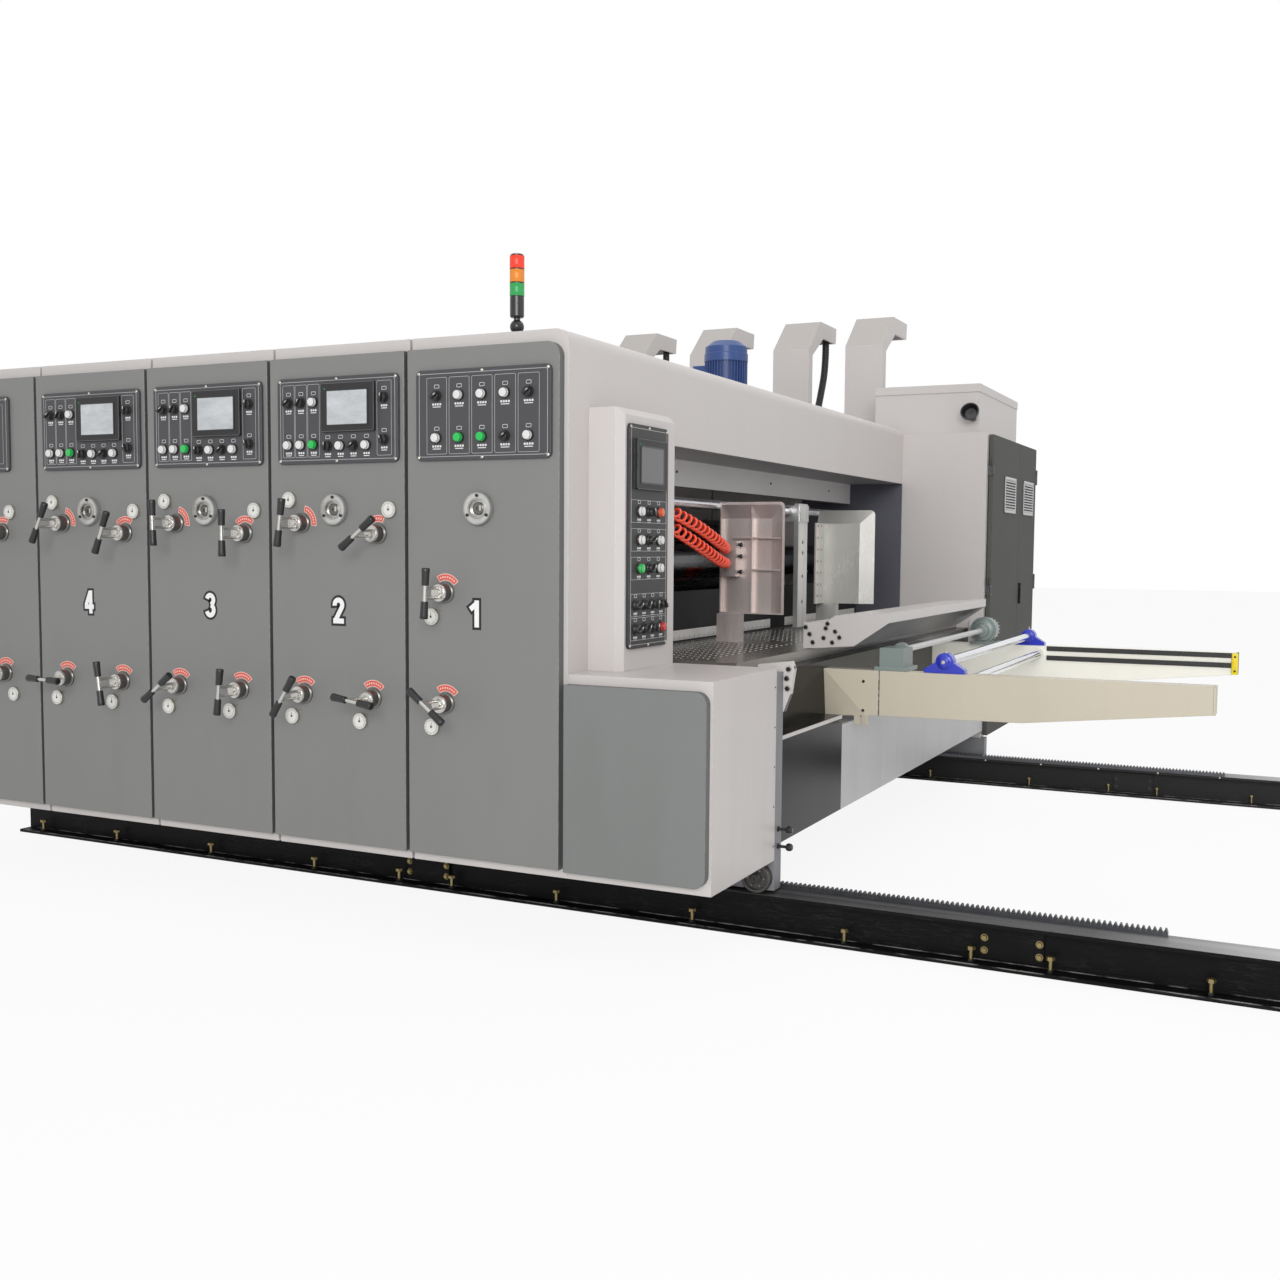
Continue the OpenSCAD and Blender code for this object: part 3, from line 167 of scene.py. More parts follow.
def new_group(name, inputs, outputs):
    """Empty shader group with named sockets; returns the tree, what it is given and its output node."""
    tree = bpy.data.node_groups.new(name, "ShaderNodeTree")
    for label, kind, default in inputs:
        socket = tree.interface.new_socket(name=label, in_out="INPUT", socket_type="NodeSocket" + kind)
        socket.default_value = default
    for label, kind in outputs:
        tree.interface.new_socket(name=label, in_out="OUTPUT", socket_type="NodeSocket" + kind)
    return tree, tree.nodes.new("NodeGroupInput").outputs, tree.nodes.new("NodeGroupOutput")


def use(tree, group, inputs):
    """The group placed in a material with its own values."""
    made = tree.nodes.new("ShaderNodeGroup")
    made.node_tree = group
    return fill(tree, made, inputs).outputs


# Effects that several finishes share

def make_even_tone():
    """Colour and gloss that drift over the surface with a broad noise, and a fine noise for the bump."""
    tree, given, end = new_group(
        "even_tone",
        [("Color", "Color", (0.8, 0.8, 0.8, 1.0)), ("Spread", "Float", 0.05), ("Size", "Float", 1.5),
         ("Stretch", "Vector", (1.0, 1.0, 1.0)), ("Rough", "Float", 0.4), ("Rough Spread", "Float", 0.08),
         ("Grain", "Float", 300.0)],
        [("Color", "Color"), ("Roughness", "Float"), ("Fine", "Float")])
    place = pulled(tree, given["Stretch"])
    broad = noise(tree, place, given["Size"], 6.0, Roughness=0.62)
    fine = noise(tree, place, given["Grain"], 2.0)
    drift = sums(tree, "MULTIPLY_ADD", broad, 2.0, -1.0)
    speck = sums(tree, "MULTIPLY_ADD", fine, 0.8, -0.4)
    both = sums(tree, "ADD", drift, speck)
    gain = sums(tree, "MULTIPLY_ADD", both, given["Spread"], 1.0)
    rough = sums(tree, "MULTIPLY_ADD", drift, given["Rough Spread"], given["Rough"])
    fill(tree, end, {"Color": scaled(tree, given["Color"], gain), "Roughness": rough, "Fine": fine})
    return tree


def make_edge_rub():
    """Mask and normal of worn edges: how far the rounded normal leans from the flat one, broken by noise."""
    tree, given, end = new_group("edge_rub", [("Width", "Float", 0.003), ("Break", "Float", 60.0)],
                                 [("Mask", "Float"), ("Normal", "Vector")])
    soft = node(tree, "Bevel", {"Radius": given["Width"]}, samples=4).outputs[0]
    flat = node(tree, "NewGeometry").outputs["Normal"]
    lean = node(tree, "VectorMath", {0: soft, 1: flat}, operation="DOT_PRODUCT").outputs["Value"]
    patch = noise(tree, spot(tree), given["Break"], 3.0)
    mask = sums(tree, "MULTIPLY", ramp(tree, lean, 0.995, 0.9), ramp(tree, patch, 0.42, 0.62))
    fill(tree, end, {"Mask": mask, "Normal": soft})
    return tree


def make_settled_dirt():
    """Dirt that runs down in soft streaks and gathers below a height: streak noise times a fall with z."""
    tree, given, end = new_group(
        "settled_dirt",
        [("Color", "Color", (0.8, 0.8, 0.8, 1.0)), ("Dirt", "Color", (0.1, 0.09, 0.08, 1.0)),
         ("Amount", "Float", 0.2), ("High", "Float", 1.2), ("Low", "Float", 0.0)],
        [("Color", "Color")])
    height = node(tree, "SeparateXYZ", {0: spot(tree)}).outputs["Z"]
    streak = noise(tree, pulled(tree, (5.0, 5.0, 0.9)), 1.6, 4.0, Roughness=0.6)
    patch = ramp(tree, streak, 0.42, 0.85)
    fall = ramp(tree, height, given["High"], given["Low"], 0.25)
    share = sums(tree, "MULTIPLY", sums(tree, "MULTIPLY", patch, fall), given["Amount"])
    fill(tree, end, {"Color": mixed(tree, share, given["Color"], given["Dirt"])})
    return tree


def make_drawn_lines():
    """Fine lines of brushing or rolling: noise pulled long along one axis by the stretch."""
    tree, given, end = new_group(
        "drawn_lines",
        [("Stretch", "Vector", (1.0, 60.0, 60.0)), ("Size", "Float", 6.0)],
        [("Lines", "Float"), ("Bands", "Float")])
    place = pulled(tree, given["Stretch"])
    lines = noise(tree, place, given["Size"], 4.0)
    bands = noise(tree, place, sums(tree, "MULTIPLY", given["Size"], 0.13), 2.0)
    fill(tree, end, {"Lines": lines, "Bands": bands})
    return tree


def make_scratches():
    """Mask of scuffs and scratches: thin crests of a pulled noise, kept where a broad noise is high."""
    tree, given, end = new_group(
        "scratches",
        [("Stretch", "Vector", (2.0, 14.0, 14.0)), ("Size", "Float", 9.0), ("Cover", "Float", 0.5)],
        [("Mask", "Float")])
    lines = noise(tree, pulled(tree, given["Stretch"]), given["Size"], 6.0, Distortion=1.4)
    crest = sums(tree, "ABSOLUTE", sums(tree, "SUBTRACT", lines, 0.5))
    thin = ramp(tree, crest, 0.035, 0.0)
    where = ramp(tree, noise(tree, spot(tree), 7.0, 3.0), 0.4, 0.65)
    fill(tree, end, {"Mask": sums(tree, "MULTIPLY", sums(tree, "MULTIPLY", thin, where), given["Cover"])})
    return tree


def make_inside_box():
    """Mask that is 1 between two corners: where the least of the distances to the six sides is above 0."""
    tree, given, end = new_group(
        "inside_box",
        [("Low", "Vector", (0.0, 0.0, 0.0)), ("High", "Vector", (1.0, 1.0, 1.0))],
        [("Mask", "Float")])
    place = spot(tree)
    below = node(tree, "VectorMath", {0: place, 1: given["Low"]}, operation="SUBTRACT").outputs[0]
    above = node(tree, "VectorMath", {0: given["High"], 1: place}, operation="SUBTRACT").outputs[0]
    least = node(tree, "VectorMath", {0: below, 1: above}, operation="MINIMUM").outputs[0]
    x, y, z = node(tree, "SeparateXYZ", {0: least}).outputs
    smallest = sums(tree, "MINIMUM", sums(tree, "MINIMUM", x, y), z)
    fill(tree, end, {"Mask": sums(tree, "GREATER_THAN", smallest, 0.0)})
    return tree


EVEN_TONE = make_even_tone()
EDGE_RUB = make_edge_rub()
SETTLED_DIRT = make_settled_dirt()
DRAWN_LINES = make_drawn_lines()
SCRATCHES = make_scratches()
INSIDE_BOX = make_inside_box()


# Finishes

def blank(name):
    """New material with its tree and its one Principled shader."""
    made = bpy.data.materials.new(name)
    made.use_nodes = True
    tree = made.node_tree
    return made, tree, tree.nodes["Principled BSDF"]


def shift(corner):
    """A corner in the drawing's millimetres, in the frame's metres."""
    return tuple(float(c) for c in (np.array(corner, float) - ORIGIN) / 1000.0)


def box_mask(tree, low, high):
    """1 inside a box between two corners in the drawing's millimetres."""
    return use(tree, INSIDE_BOX, {"Low": shift(low), "High": shift(high)})["Mask"]


def zoned(tree, color, zones):
    """The colour with each zone, a box in the drawing's millimetres, painted over it."""
    for low, high, over in zones:
        color = mixed(tree, box_mask(tree, low, high), color, over)
    return color


def leaning(tree, low, high):
    """1 on faces whose normal's height lies between low and high: -1 looks down, 1 looks up."""
    normal = node(tree, "NewGeometry").outputs["Normal"]
    rise = node(tree, "SeparateXYZ", {0: normal}).outputs["Z"]
    return sums(tree, "MULTIPLY", sums(tree, "GREATER_THAN", rise, low), sums(tree, "LESS_THAN", rise, high))


def enamel(name, color, rough=0.42, spread=0.035, rub=None, dirt=0.25, coat=0.0, zones=(), grain=260.0,
           under=None, slope_shade=None, dull=(), shine=0.5):
    """Sprayed paint: drifting tone, orange peel, edges rubbed towards rub and dirt low down.

    Faces that look down and faces that lean upwards can take a painted shade of their own, and zones can be
    matt.
    """
    made, tree, shader = blank(name)
    tone = use(tree, EVEN_TONE, {"Color": color, "Spread": spread, "Rough": rough, "Grain": grain})
    edge = use(tree, EDGE_RUB, {"Width": 0.004})
    shade = zoned(tree, tone["Color"], zones)
    # Painted shade on faces that look down
    if under is not None:
        shade = mixed(tree, leaning(tree, -2.0, -0.2), shade, under)
    # Painted shade on faces that lean upwards
    if slope_shade is not None:
        shade = mixed(tree, leaning(tree, 0.3, 0.95), shade, slope_shade)
    if rub is not None:
        shade = mixed(tree, sums(tree, "MULTIPLY", edge["Mask"], 0.75), shade, rub)
    shade = use(tree, SETTLED_DIRT, {"Color": shade, "Amount": dirt})["Color"]
    gloss = tone["Roughness"]
    for low, high, _ in dull:
        gloss = sums(tree, "MULTIPLY_ADD", box_mask(tree, low, high), 0.6, gloss)
    bump = node(tree, "Bump", {"Height": tone["Fine"], "Strength": 0.07, "Distance": 0.002,
                               "Normal": edge["Normal"]})
    fill(tree, shader, {"Base Color": shade, "Roughness": gloss, "Normal": bump.outputs[0],
                        "Specular IOR Level": shine, "Coat Weight": coat, "Coat Roughness": 0.12})
    return made


def bare_metal(name, color, rough=0.3, stretch=(1.0, 60.0, 60.0), spread=0.1, scratch=0.0, zones=(),
               metallic=1.0, size=6.0):
    """Metal with drawn lines in colour, gloss and bump, and scratches where asked."""
    made, tree, shader = blank(name)
    tone = use(tree, EVEN_TONE, {"Color": color, "Spread": spread, "Size": 4.0, "Rough": rough,
                                 "Rough Spread": 0.1})
    lines = use(tree, DRAWN_LINES, {"Stretch": stretch, "Size": size})
    gain = sums(tree, "MULTIPLY_ADD", lines["Bands"], 0.5, 0.75)
    shade = scaled(tree, zoned(tree, tone["Color"], zones), gain)
    gloss = sums(tree, "MULTIPLY_ADD", lines["Lines"], 0.16, tone["Roughness"])
    if scratch > 0.0:
        mark = use(tree, SCRATCHES, {"Cover": scratch, "Stretch": (14.0, 14.0, 1.6)})["Mask"]
        shade = mixed(tree, mark, shade, (0.9, 0.89, 0.87, 1.0))
    bump = node(tree, "Bump", {"Height": lines["Lines"], "Strength": 0.12, "Distance": 0.001})
    fill(tree, shader, {"Base Color": shade, "Roughness": gloss, "Normal": bump.outputs[0],
                        "Metallic": metallic})
    return made


def moulded(name, color, rough=0.45, spread=0.06, coat=0.0, glow=0.0):
    """Moulded plastic, rubber or print: drifting tone and a fine grain, with a glow for lamps."""
    made, tree, shader = blank(name)
    tone = use(tree, EVEN_TONE, {"Color": color, "Spread": spread, "Size": 20.0, "Rough": rough,
                                 "Grain": 700.0})
    bump = node(tree, "Bump", {"Height": tone["Fine"], "Strength": 0.1, "Distance": 0.0006})
    fill(tree, shader, {"Base Color": tone["Color"], "Roughness": tone["Roughness"],
                        "Normal": bump.outputs[0], "Coat Weight": coat})
    if glow > 0.0:
        fill(tree, shader, {"Emission Color": tone["Color"], "Emission Strength": glow})
    return made


def rail_paint():
    """Black paint with rolling lines and scuffs, a worn lower edge and a bare running face.

    The running face is dark under the sections, with lighter bands as painted highlights, and turns bright
    towards the feed end; the far rail is a lighter copy, painted light.
    """
    made, tree, shader = blank("rail_paint")
    tone = use(tree, EVEN_TONE, {"Color": tint(15, 15, 16), "Spread": 0.3, "Size": 3.0,
                                 "Stretch": (1.0, 6.0, 6.0), "Rough": 0.46, "Rough Spread": 0.15})
    lines = use(tree, DRAWN_LINES, {"Stretch": (0.6, 40.0, 40.0), "Size": 5.0})
    mark = use(tree, SCRATCHES, {"Stretch": (1.2, 12.0, 12.0), "Size": 6.0, "Cover": 0.35})["Mask"]
    # The far rail takes a lighter copy of the black: painted light
    shade = mixed(tree, mark, zoned(tree, tone["Color"], FAR_RAIL_LIGHT), tint(64, 64, 66))
    top = box_mask(tree, (-FAR, -FAR, RAIL_H - 0.5), (FAR, FAR, RAIL_H + 1))
    along = node(tree, "SeparateXYZ", {0: spot(tree)}).outputs["X"]
    # The running face: dark under the sections with lighter bands that are painted highlights, bright towards
    # the feed end
    dark_streaked = mixed(tree, lines["Bands"], tint(24, 24, 25), tint(132, 132, 134))
    bright = mixed(tree, lines["Bands"], tint(200, 200, 201), tint(252, 252, 252))
    worn = mixed(tree, ramp(tree, along, DARK_TO, BRIGHT_FROM), dark_streaked, bright)
    shade = mixed(tree, top, shade, worn)
    foot = box_mask(tree, (-FAR, -FAR, 5), (FAR, FAR, FLANGE + 4))
    edge = use(tree, EDGE_RUB, {"Width": 0.006, "Break": 14.0})["Mask"]
    shade = mixed(tree, sums(tree, "MULTIPLY", foot, edge), shade, tint(170, 168, 164))
    bump = node(tree, "Bump", {"Height": lines["Lines"], "Strength": 0.2, "Distance": 0.002})
    fill(tree, shader, {"Base Color": shade, "Metallic": sums(tree, "MULTIPLY", top, 0.8),
                        "Specular IOR Level": 0.1, "Roughness": tone["Roughness"],
                        "Normal": bump.outputs[0]})
    return made


def screen_glass(name, color, glow):
    """Screen glass whose pale drifting tone and own glow are a painted reflection."""
    made, tree, shader = blank(name)
    tone = use(tree, EVEN_TONE, {"Color": color, "Spread": 0.45, "Size": 9.0, "Stretch": (1.0, 1.0, 2.5),
                                 "Rough": 0.12, "Rough Spread": 0.05})
    fill(tree, shader, {"Base Color": tone["Color"], "Roughness": tone["Roughness"], "Coat Weight": 0.6,
                        "Emission Color": tone["Color"], "Emission Strength": glow})
    return made


# Tones and paint zones: a zone is a box in the drawing's millimetres with its own tone; zones marked as
# painted light or painted shade stand in for light
WHITE = tint(201, 196, 194)
GREY = tint(125, 125, 124)
FAR = 99000
# The band under the hood: its own pale tone, lifted further as painted light because it lies in shade
BAND_LIGHTENED = [((-FAR, 620, 1500), (-279, 3770, 1623), tint(216, 214, 213))]
# Painted shade: the wall plate darker and bluer where it lies in the recess under the hood
RECESS_SHADE = [((-FAR, 3700, 880), (15, ROLL_FAR + 1, 1622), tint(86, 87, 96))]
CONDUIT = [((-FAR, 4592, 1880), (FAR, 4900, 2559), tint(26, 26, 27)),
           ((-FAR, 4372, 1880), (FAR, 4900, 2430), tint(26, 26, 27))]
# Painted shade: the doors' side faces, a darker copy of their grey
DOOR_SIDE_SHADE = [((-FAR, 2, 0), (FAR, 31, 3000), tint(92, 93, 93))]
UPSTAND = [((-262, 600, 886), (-234, 3790, 1100), tint(16, 16, 17))]
BEZELS = [((-FAR, -40, 0), (20, -10.6, 3000), tint(26, 26, 28)),
          ((120, 100, 0), (300, 560, 3000), tint(44, 44, 45)),
          ((141.6, 100, 0), (300, 560, 3000), tint(24, 24, 26))]
TABLE_FRONT = [((329, 600, 800), (331, 3790, 884), tint(138, 134, 129))]
SHELF_EDGE = [((480, 600, 635), (484, 1335, 649), tint(206, 202, 200))]
HINGES = [((472.6, 3700, 200), (520, 5200, 1890), tint(70, 70, 70))]
# Painted light: the far arm, a lighter copy of the beige
FAR_ARM_LIGHT = [((300, 2900, 500), (1800, 3200, 900), tint(250, 248, 236))]
ARM_SEAM = [((607.5, 1320, 600), (612.5, 1400, 820), tint(92, 86, 74))]
NEAR_CAP = [((1755.5, 1300, 700), (1770, 1420, 830), tint(205, 196, 177))]
DRIVE_SHAFT = [((634, 1497, 868), (666, 2862, 900), tint(205, 205, 205))]
# Painted light: the far rail, a lighter copy of the rail black
FAR_RAIL_LIGHT = [((-FAR, 3700, -10), (FAR, 3900, 141), tint(48, 47, 47))]
ROLL_TONES = [((-FAR, 600, 880), (15, 3800, 1108), tint(40, 40, 42)),
              ((-545, 1775, 1112), (-360, 1960, 1180), tint(176, 52, 32)),
              ((-190, 600, 1415), (-140, 3800, 1465), tint(205, 205, 208))]
# Painted shade: the far guide, a darker copy of the stainless
FAR_GUIDE_SHADE = [((-200, 2700, 880), (200, 2900, 1460), tint(192, 191, 186))]
LATCH = [((500.6, 4580, 940), (520, 4620, 1080), tint(24, 24, 25))]

# Where the rails' running face is still dark and where it is bright, in the frame's metres
DARK_TO = 1.3
BRIGHT_FROM = 2.35
# Stretches that draw a metal's lines along one axis, or leave it speckled
FINE_Y = (30.0, 1.0, 30.0)
ALONG_X = (1.0, 40.0, 40.0)
ALONG_Y = (40.0, 1.0, 40.0)
ALONG_Z = (40.0, 40.0, 1.0)
CAST = (20.0, 20.0, 20.0)
WHITE_RUB = tint(224, 221, 218)
WHITE_COAT = {"color": WHITE, "rough": 0.4, "rub": WHITE_RUB, "dirt": 0.1}
white_paint = enamel("white_paint", **WHITE_COAT)
# Painted shade on the hood's faces that look down
hood_paint = enamel("hood_paint", **WHITE_COAT, zones=BAND_LIGHTENED, under=tint(150, 149, 150))
housing_paint = enamel("housing_paint", **WHITE_COAT, zones=HINGES)
# Painted shade on the ducts' faces that lean upwards
duct_paint = enamel("duct_paint", WHITE, rough=0.38, rub=WHITE_RUB, dirt=0.05, zones=CONDUIT,
                    slope_shade=tint(176, 171, 167))
# Painted shade, near black, on the beam's faces that look down
beam_paint = enamel("beam_paint", WHITE, rough=0.38, rub=WHITE_RUB, dirt=0.1, under=tint(50, 50, 53))
# Door paints: the zone on the doors' side faces is painted shade
door_paint = enamel("door_paint", GREY, rough=0.46, spread=0.05, rub=tint(168, 168, 166), dirt=0.15,
                    zones=DOOR_SIDE_SHADE)
low_door_paint = enamel("low_door_paint", tint(118, 121, 119), rough=0.44, spread=0.05,
                        rub=tint(150, 151, 149), zones=DOOR_SIDE_SHADE)
# Wall paint with painted shade in the recess under the hood
wall_paint = enamel("wall_paint", tint(126, 127, 131), rough=0.5, rub=tint(150, 150, 150), dirt=0.4,
                    zones=RECESS_SHADE)
cabinet_paint = enamel("cabinet_paint", tint(90, 90, 88), rough=0.6, spread=0.06, rub=tint(118, 118, 118),
                       zones=LATCH, shine=0.04)
cover_black = enamel("cover_black", tint(16, 15, 16), rough=0.22, spread=0.12, dirt=0.15, zones=SHELF_EDGE,
                     shine=0.12)
# Black table paint whose base is lifted to grey as a painted reflection
table_black = enamel("table_black", tint(96, 93, 88), rough=0.2, spread=0.15, dirt=0.1,
                     zones=UPSTAND + TABLE_FRONT, dull=UPSTAND)
# Beige paint with painted light on the far arm
beige_paint = enamel("beige_paint", tint(205, 196, 177), rough=0.4, rub=tint(232, 228, 214), dirt=0.1,
                     zones=FAR_ARM_LIGHT + ARM_SEAM)
motor_blue = enamel("motor_blue", tint(54, 80, 136), rough=0.36, spread=0.12, rub=tint(96, 114, 160),
                    coat=0.1, shine=0.3)
bearing_blue = enamel("bearing_blue", tint(38, 52, 190), rough=0.28, spread=0.1, rub=tint(110, 120, 205),
                      coat=0.3)
drive_green = enamel("drive_green", tint(132, 144, 141), rough=0.34, spread=0.1, rub=tint(176, 182, 178),
                     zones=DRIVE_SHAFT)
grey_cover = enamel("grey_cover", tint(190, 189, 190), rough=0.4, rub=tint(220, 220, 220), dirt=0.2)
overlay = enamel("overlay", tint(66, 65, 68), rough=0.5, spread=0.06, rub=tint(92, 92, 94), dirt=0.05,
                 grain=900.0, zones=BEZELS)
dark_steel = bare_metal("dark_steel", tint(60, 58, 56), rough=0.3, stretch=FINE_Y, metallic=0.6)
collar_steel = bare_metal("collar_steel", tint(112, 110, 107), rough=0.24, stretch=ALONG_Y, metallic=0.9)
flange_steel = bare_metal("flange_steel", tint(158, 158, 156), rough=0.42, stretch=CAST, spread=0.25,
                          metallic=0.7)
turned_steel = bare_metal("turned_steel", tint(196, 194, 190), rough=0.22, stretch=ALONG_Y)
roller_steel = bare_metal("roller_steel", tint(176, 175, 173), rough=0.35, stretch=ALONG_X)
rack_steel = bare_metal("rack_steel", tint(86, 87, 90), rough=0.34, stretch=ALONG_Y, spread=0.25)
roll_dark = bare_metal("roll_dark", tint(92, 93, 96), rough=0.2, stretch=ALONG_Y, zones=ROLL_TONES)
chrome = bare_metal("chrome", tint(214, 215, 218), rough=0.07, stretch=FINE_Y, spread=0.05)
# Stainless with painted shade on the far guide
stainless = bare_metal("stainless", tint(212, 201, 197), rough=0.36, stretch=ALONG_Z, scratch=0.5,
                       metallic=0.75, size=1.1, zones=FAR_GUIDE_SHADE)
aluminium = bare_metal("aluminium", tint(206, 206, 205), rough=0.3, stretch=ALONG_Z, metallic=0.9)
tyre = enamel("tyre", tint(38, 38, 37), rough=0.45, spread=0.25, rub=tint(120, 118, 112), dirt=0.5)
strip_rubber = enamel("strip_rubber", tint(32, 32, 33), rough=0.5, spread=0.1, dirt=0.0, zones=NEAR_CAP)
grip_rubber = moulded("grip_rubber", tint(24, 24, 25), rough=0.38, coat=0.1)
black_plastic = moulded("black_plastic", tint(26, 26, 27), rough=0.32, coat=0.15)
cap_white = moulded("cap_white", tint(214, 214, 213), rough=0.25, coat=0.3, glow=0.05)
cap_green = moulded("cap_green", tint(14, 168, 72), rough=0.25, coat=0.3, glow=0.25)
cap_red = moulded("cap_red", tint(196, 48, 40), rough=0.3, coat=0.3)
cap_orange = moulded("cap_orange", tint(222, 84, 40), rough=0.3, coat=0.3)
print_white = moulded("print_white", tint(222, 222, 223), rough=0.5)
line_grey = moulded("line_grey", tint(172, 172, 174), rough=0.5)
label_red = moulded("label_red", tint(216, 92, 78), rough=0.5)
label_pale = moulded("label_pale", tint(238, 196, 186), rough=0.5)
number_white = moulded("number_white", tint(236, 236, 236), rough=0.45)
number_edge = moulded("number_edge", tint(16, 16, 17), rough=0.5)
dial_white = moulded("dial_white", tint(222, 221, 216), rough=0.4, coat=0.2)
tick_grey = moulded("tick_grey", tint(96, 96, 96), rough=0.5)
brass = bare_metal("brass", tint(142, 128, 90), rough=0.4, stretch=CAST, spread=0.2)
zinc = bare_metal("zinc", tint(198, 196, 186), rough=0.3, stretch=CAST, spread=0.12)
bolt_black = moulded("bolt_black", tint(22, 22, 23), rough=0.35, spread=0.2)
lens_red = moulded("lens_red", tint(214, 52, 28), rough=0.4, coat=0.08, glow=0.3)
lens_amber = moulded("lens_amber", tint(204, 122, 30), rough=0.4, coat=0.08, glow=0.25)
lens_green = moulded("lens_green", tint(34, 142, 70), rough=0.4, coat=0.08, glow=0.25)
cap_yellow = moulded("cap_yellow", tint(240, 214, 30), rough=0.4)
ruler_white = moulded("ruler_white", tint(228, 226, 222), rough=0.45)
conduit_black = moulded("conduit_black", tint(28, 28, 29), rough=0.5, spread=0.2)
louvre_pale = enamel("louvre_pale", tint(196, 197, 197), rough=0.4, rub=tint(220, 220, 220), dirt=0.1)
hose_orange = moulded("hose_orange", tint(240, 66, 28), rough=0.22, spread=0.08, coat=0.4)
rail_black = rail_paint()
# The screens' pale tone and glow are a painted reflection on the glass
glare_display = screen_glass("glare_display", tint(168, 171, 174), 0.24)
dark_glare_display = screen_glass("dark_glare_display", tint(52, 52, 56), 0.04)


# Surfaces worked out as whole arrays

def skin(points, loop=False):
    """Triangles of a grid of points: columns close on themselves, rows too where loop is set.

    Every cell is cut in two, equal points are welded, and the whole is turned so that its volume is positive.
    """
    rows, columns = points.shape[:2]
    index = np.arange(rows * columns).reshape(rows, columns)
    net = np.concatenate([index, index[:, :1]], axis=1)
    if loop:
        net = np.concatenate([net, net[:1]], axis=0)
    a, b, c, d = net[:-1, :-1], net[:-1, 1:], net[1:, 1:], net[1:, :-1]
    faces = np.concatenate([np.stack([a, b, c], -1).reshape(-1, 3), np.stack([a, c, d], -1).reshape(-1, 3)])
    flat = points.reshape(-1, 3)
    _, first, inverse = np.unique(np.round(flat, 3), axis=0, return_index=True, return_inverse=True)
    faces = inverse.reshape(-1)[faces]
    whole = (faces[:, 0] != faces[:, 1]) & (faces[:, 1] != faces[:, 2]) & (faces[:, 2] != faces[:, 0])
    faces = faces[whole]
    flat = flat[first]
    corner = flat[faces]
    volume = np.einsum("ij,ij->i", corner[:, 0], np.cross(corner[:, 1], corner[:, 2])).sum()
    if volume < 0.0:
        faces = faces[:, ::-1]
    return flat, faces


def turned(profile, at=(0.0, 0.0, 0.0), sides=20, ring=False):
    """Turned surface: each (radius, height) of a profile goes round the normal; a ring's closes on itself."""
    profile = np.array(profile, float)
    angle = np.linspace(0.0, 2.0 * np.pi, sides, endpoint=False)
    x = profile[:, :1] * np.cos(angle)
    y = profile[:, :1] * np.sin(angle)
    z = np.repeat(profile[:, 1:], sides, axis=1)
    return skin(np.stack([x, y, z], -1) + np.array(at, float), loop=ring)


def carried(profile, path, across, upward, scale=None, loop=False):
    """A closed profile carried along a path: path + scale * (first * across + second * upward)."""
    profile = np.array(profile, float)
    path = np.array(path, float)
    scale = np.ones(len(path)) if scale is None else np.array(scale, float)
    across = np.broadcast_to(np.array(across, float), path.shape)
    upward = np.broadcast_to(np.array(upward, float), path.shape)
    flat = profile[None, :, :1] * across[:, None, :] + profile[None, :, 1:] * upward[:, None, :]
    return skin(path[:, None, :] + scale[:, None, None] * flat, loop=loop)


def ring_of(sides):
    """Unit circle as a profile."""
    angle = np.linspace(0.0, 2.0 * np.pi, sides, endpoint=False)
    return np.stack([np.cos(angle), np.sin(angle)], -1)


def corners(width, height, radius, steps=4):
    """Outline of a rounded rectangle about its middle, and the way each point faces."""
    turn = np.arange(4) * np.pi / 2.0
    angle = turn[:, None] + np.linspace(0.0, np.pi / 2.0, steps)[None, :]
    facing = np.stack([np.cos(angle), np.sin(angle)], -1)
    middle = np.stack([np.sign(np.cos(turn + np.pi / 4.0)) * (width / 2.0 - radius),
                       np.sign(np.sin(turn + np.pi / 4.0)) * (height / 2.0 - radius)], -1)
    return (middle[:, None, :] + radius * facing).reshape(-1, 2), facing.reshape(-1, 2)


def plate(width, height, radius, at, thick, edge=0.0):
    """Rounded plate: its outline goes straight up the normal and draws in by edge at the top."""
    outline, _ = corners(width, height, radius)
    draw = 1.0 - 2.0 * edge / min(width, height)
    rise = np.array([0.0, 0.0, thick - edge, thick, thick])
    path = np.stack([0.0 * rise, 0.0 * rise, rise], -1) + np.array(at, float)
    return carried(outline, path, (1.0, 0.0, 0.0), (0.0, 1.0, 0.0), (0.0, 1.0, 1.0, draw, 0.0))


def oblong(width, thick):
    """Profile of a flat bar: its width about the path and its thickness above it."""
    half = width / 2.0
    return [(-half, 0), (half, 0), (half, thick), (-half, thick)]


def border(width, height, radius, at, line, thick):
    """Raised line round a rounded rectangle: a small oblong profile carried along the outline."""
    outline, facing = corners(width, height, radius)
    zero = np.zeros(len(outline))
    path = np.stack([outline[:, 0], outline[:, 1], zero], -1) + np.array(at, float)
    outward = np.stack([facing[:, 0], facing[:, 1], zero], -1)
    return carried(oblong(line, thick), path, outward, (0.0, 0.0, 1.0), loop=True)


def arc_band(inner, outer, start, stop, at, thick):
    """Flat band along an arc in degrees: an oblong profile carried round it and closed at its ends."""
    angle = np.radians(np.concatenate([[start], np.linspace(start, stop, 12), [stop]]))
    facing = np.stack([np.cos(angle), np.sin(angle), 0.0 * angle], -1)
    width = outer - inner
    scale = np.ones(len(angle))
    scale[[0, -1]] = 0.0
    path = facing * (inner + width / 2.0) + np.array(at, float)
    return carried(oblong(width, thick), path, facing, (0.0, 0.0, 1.0), scale)


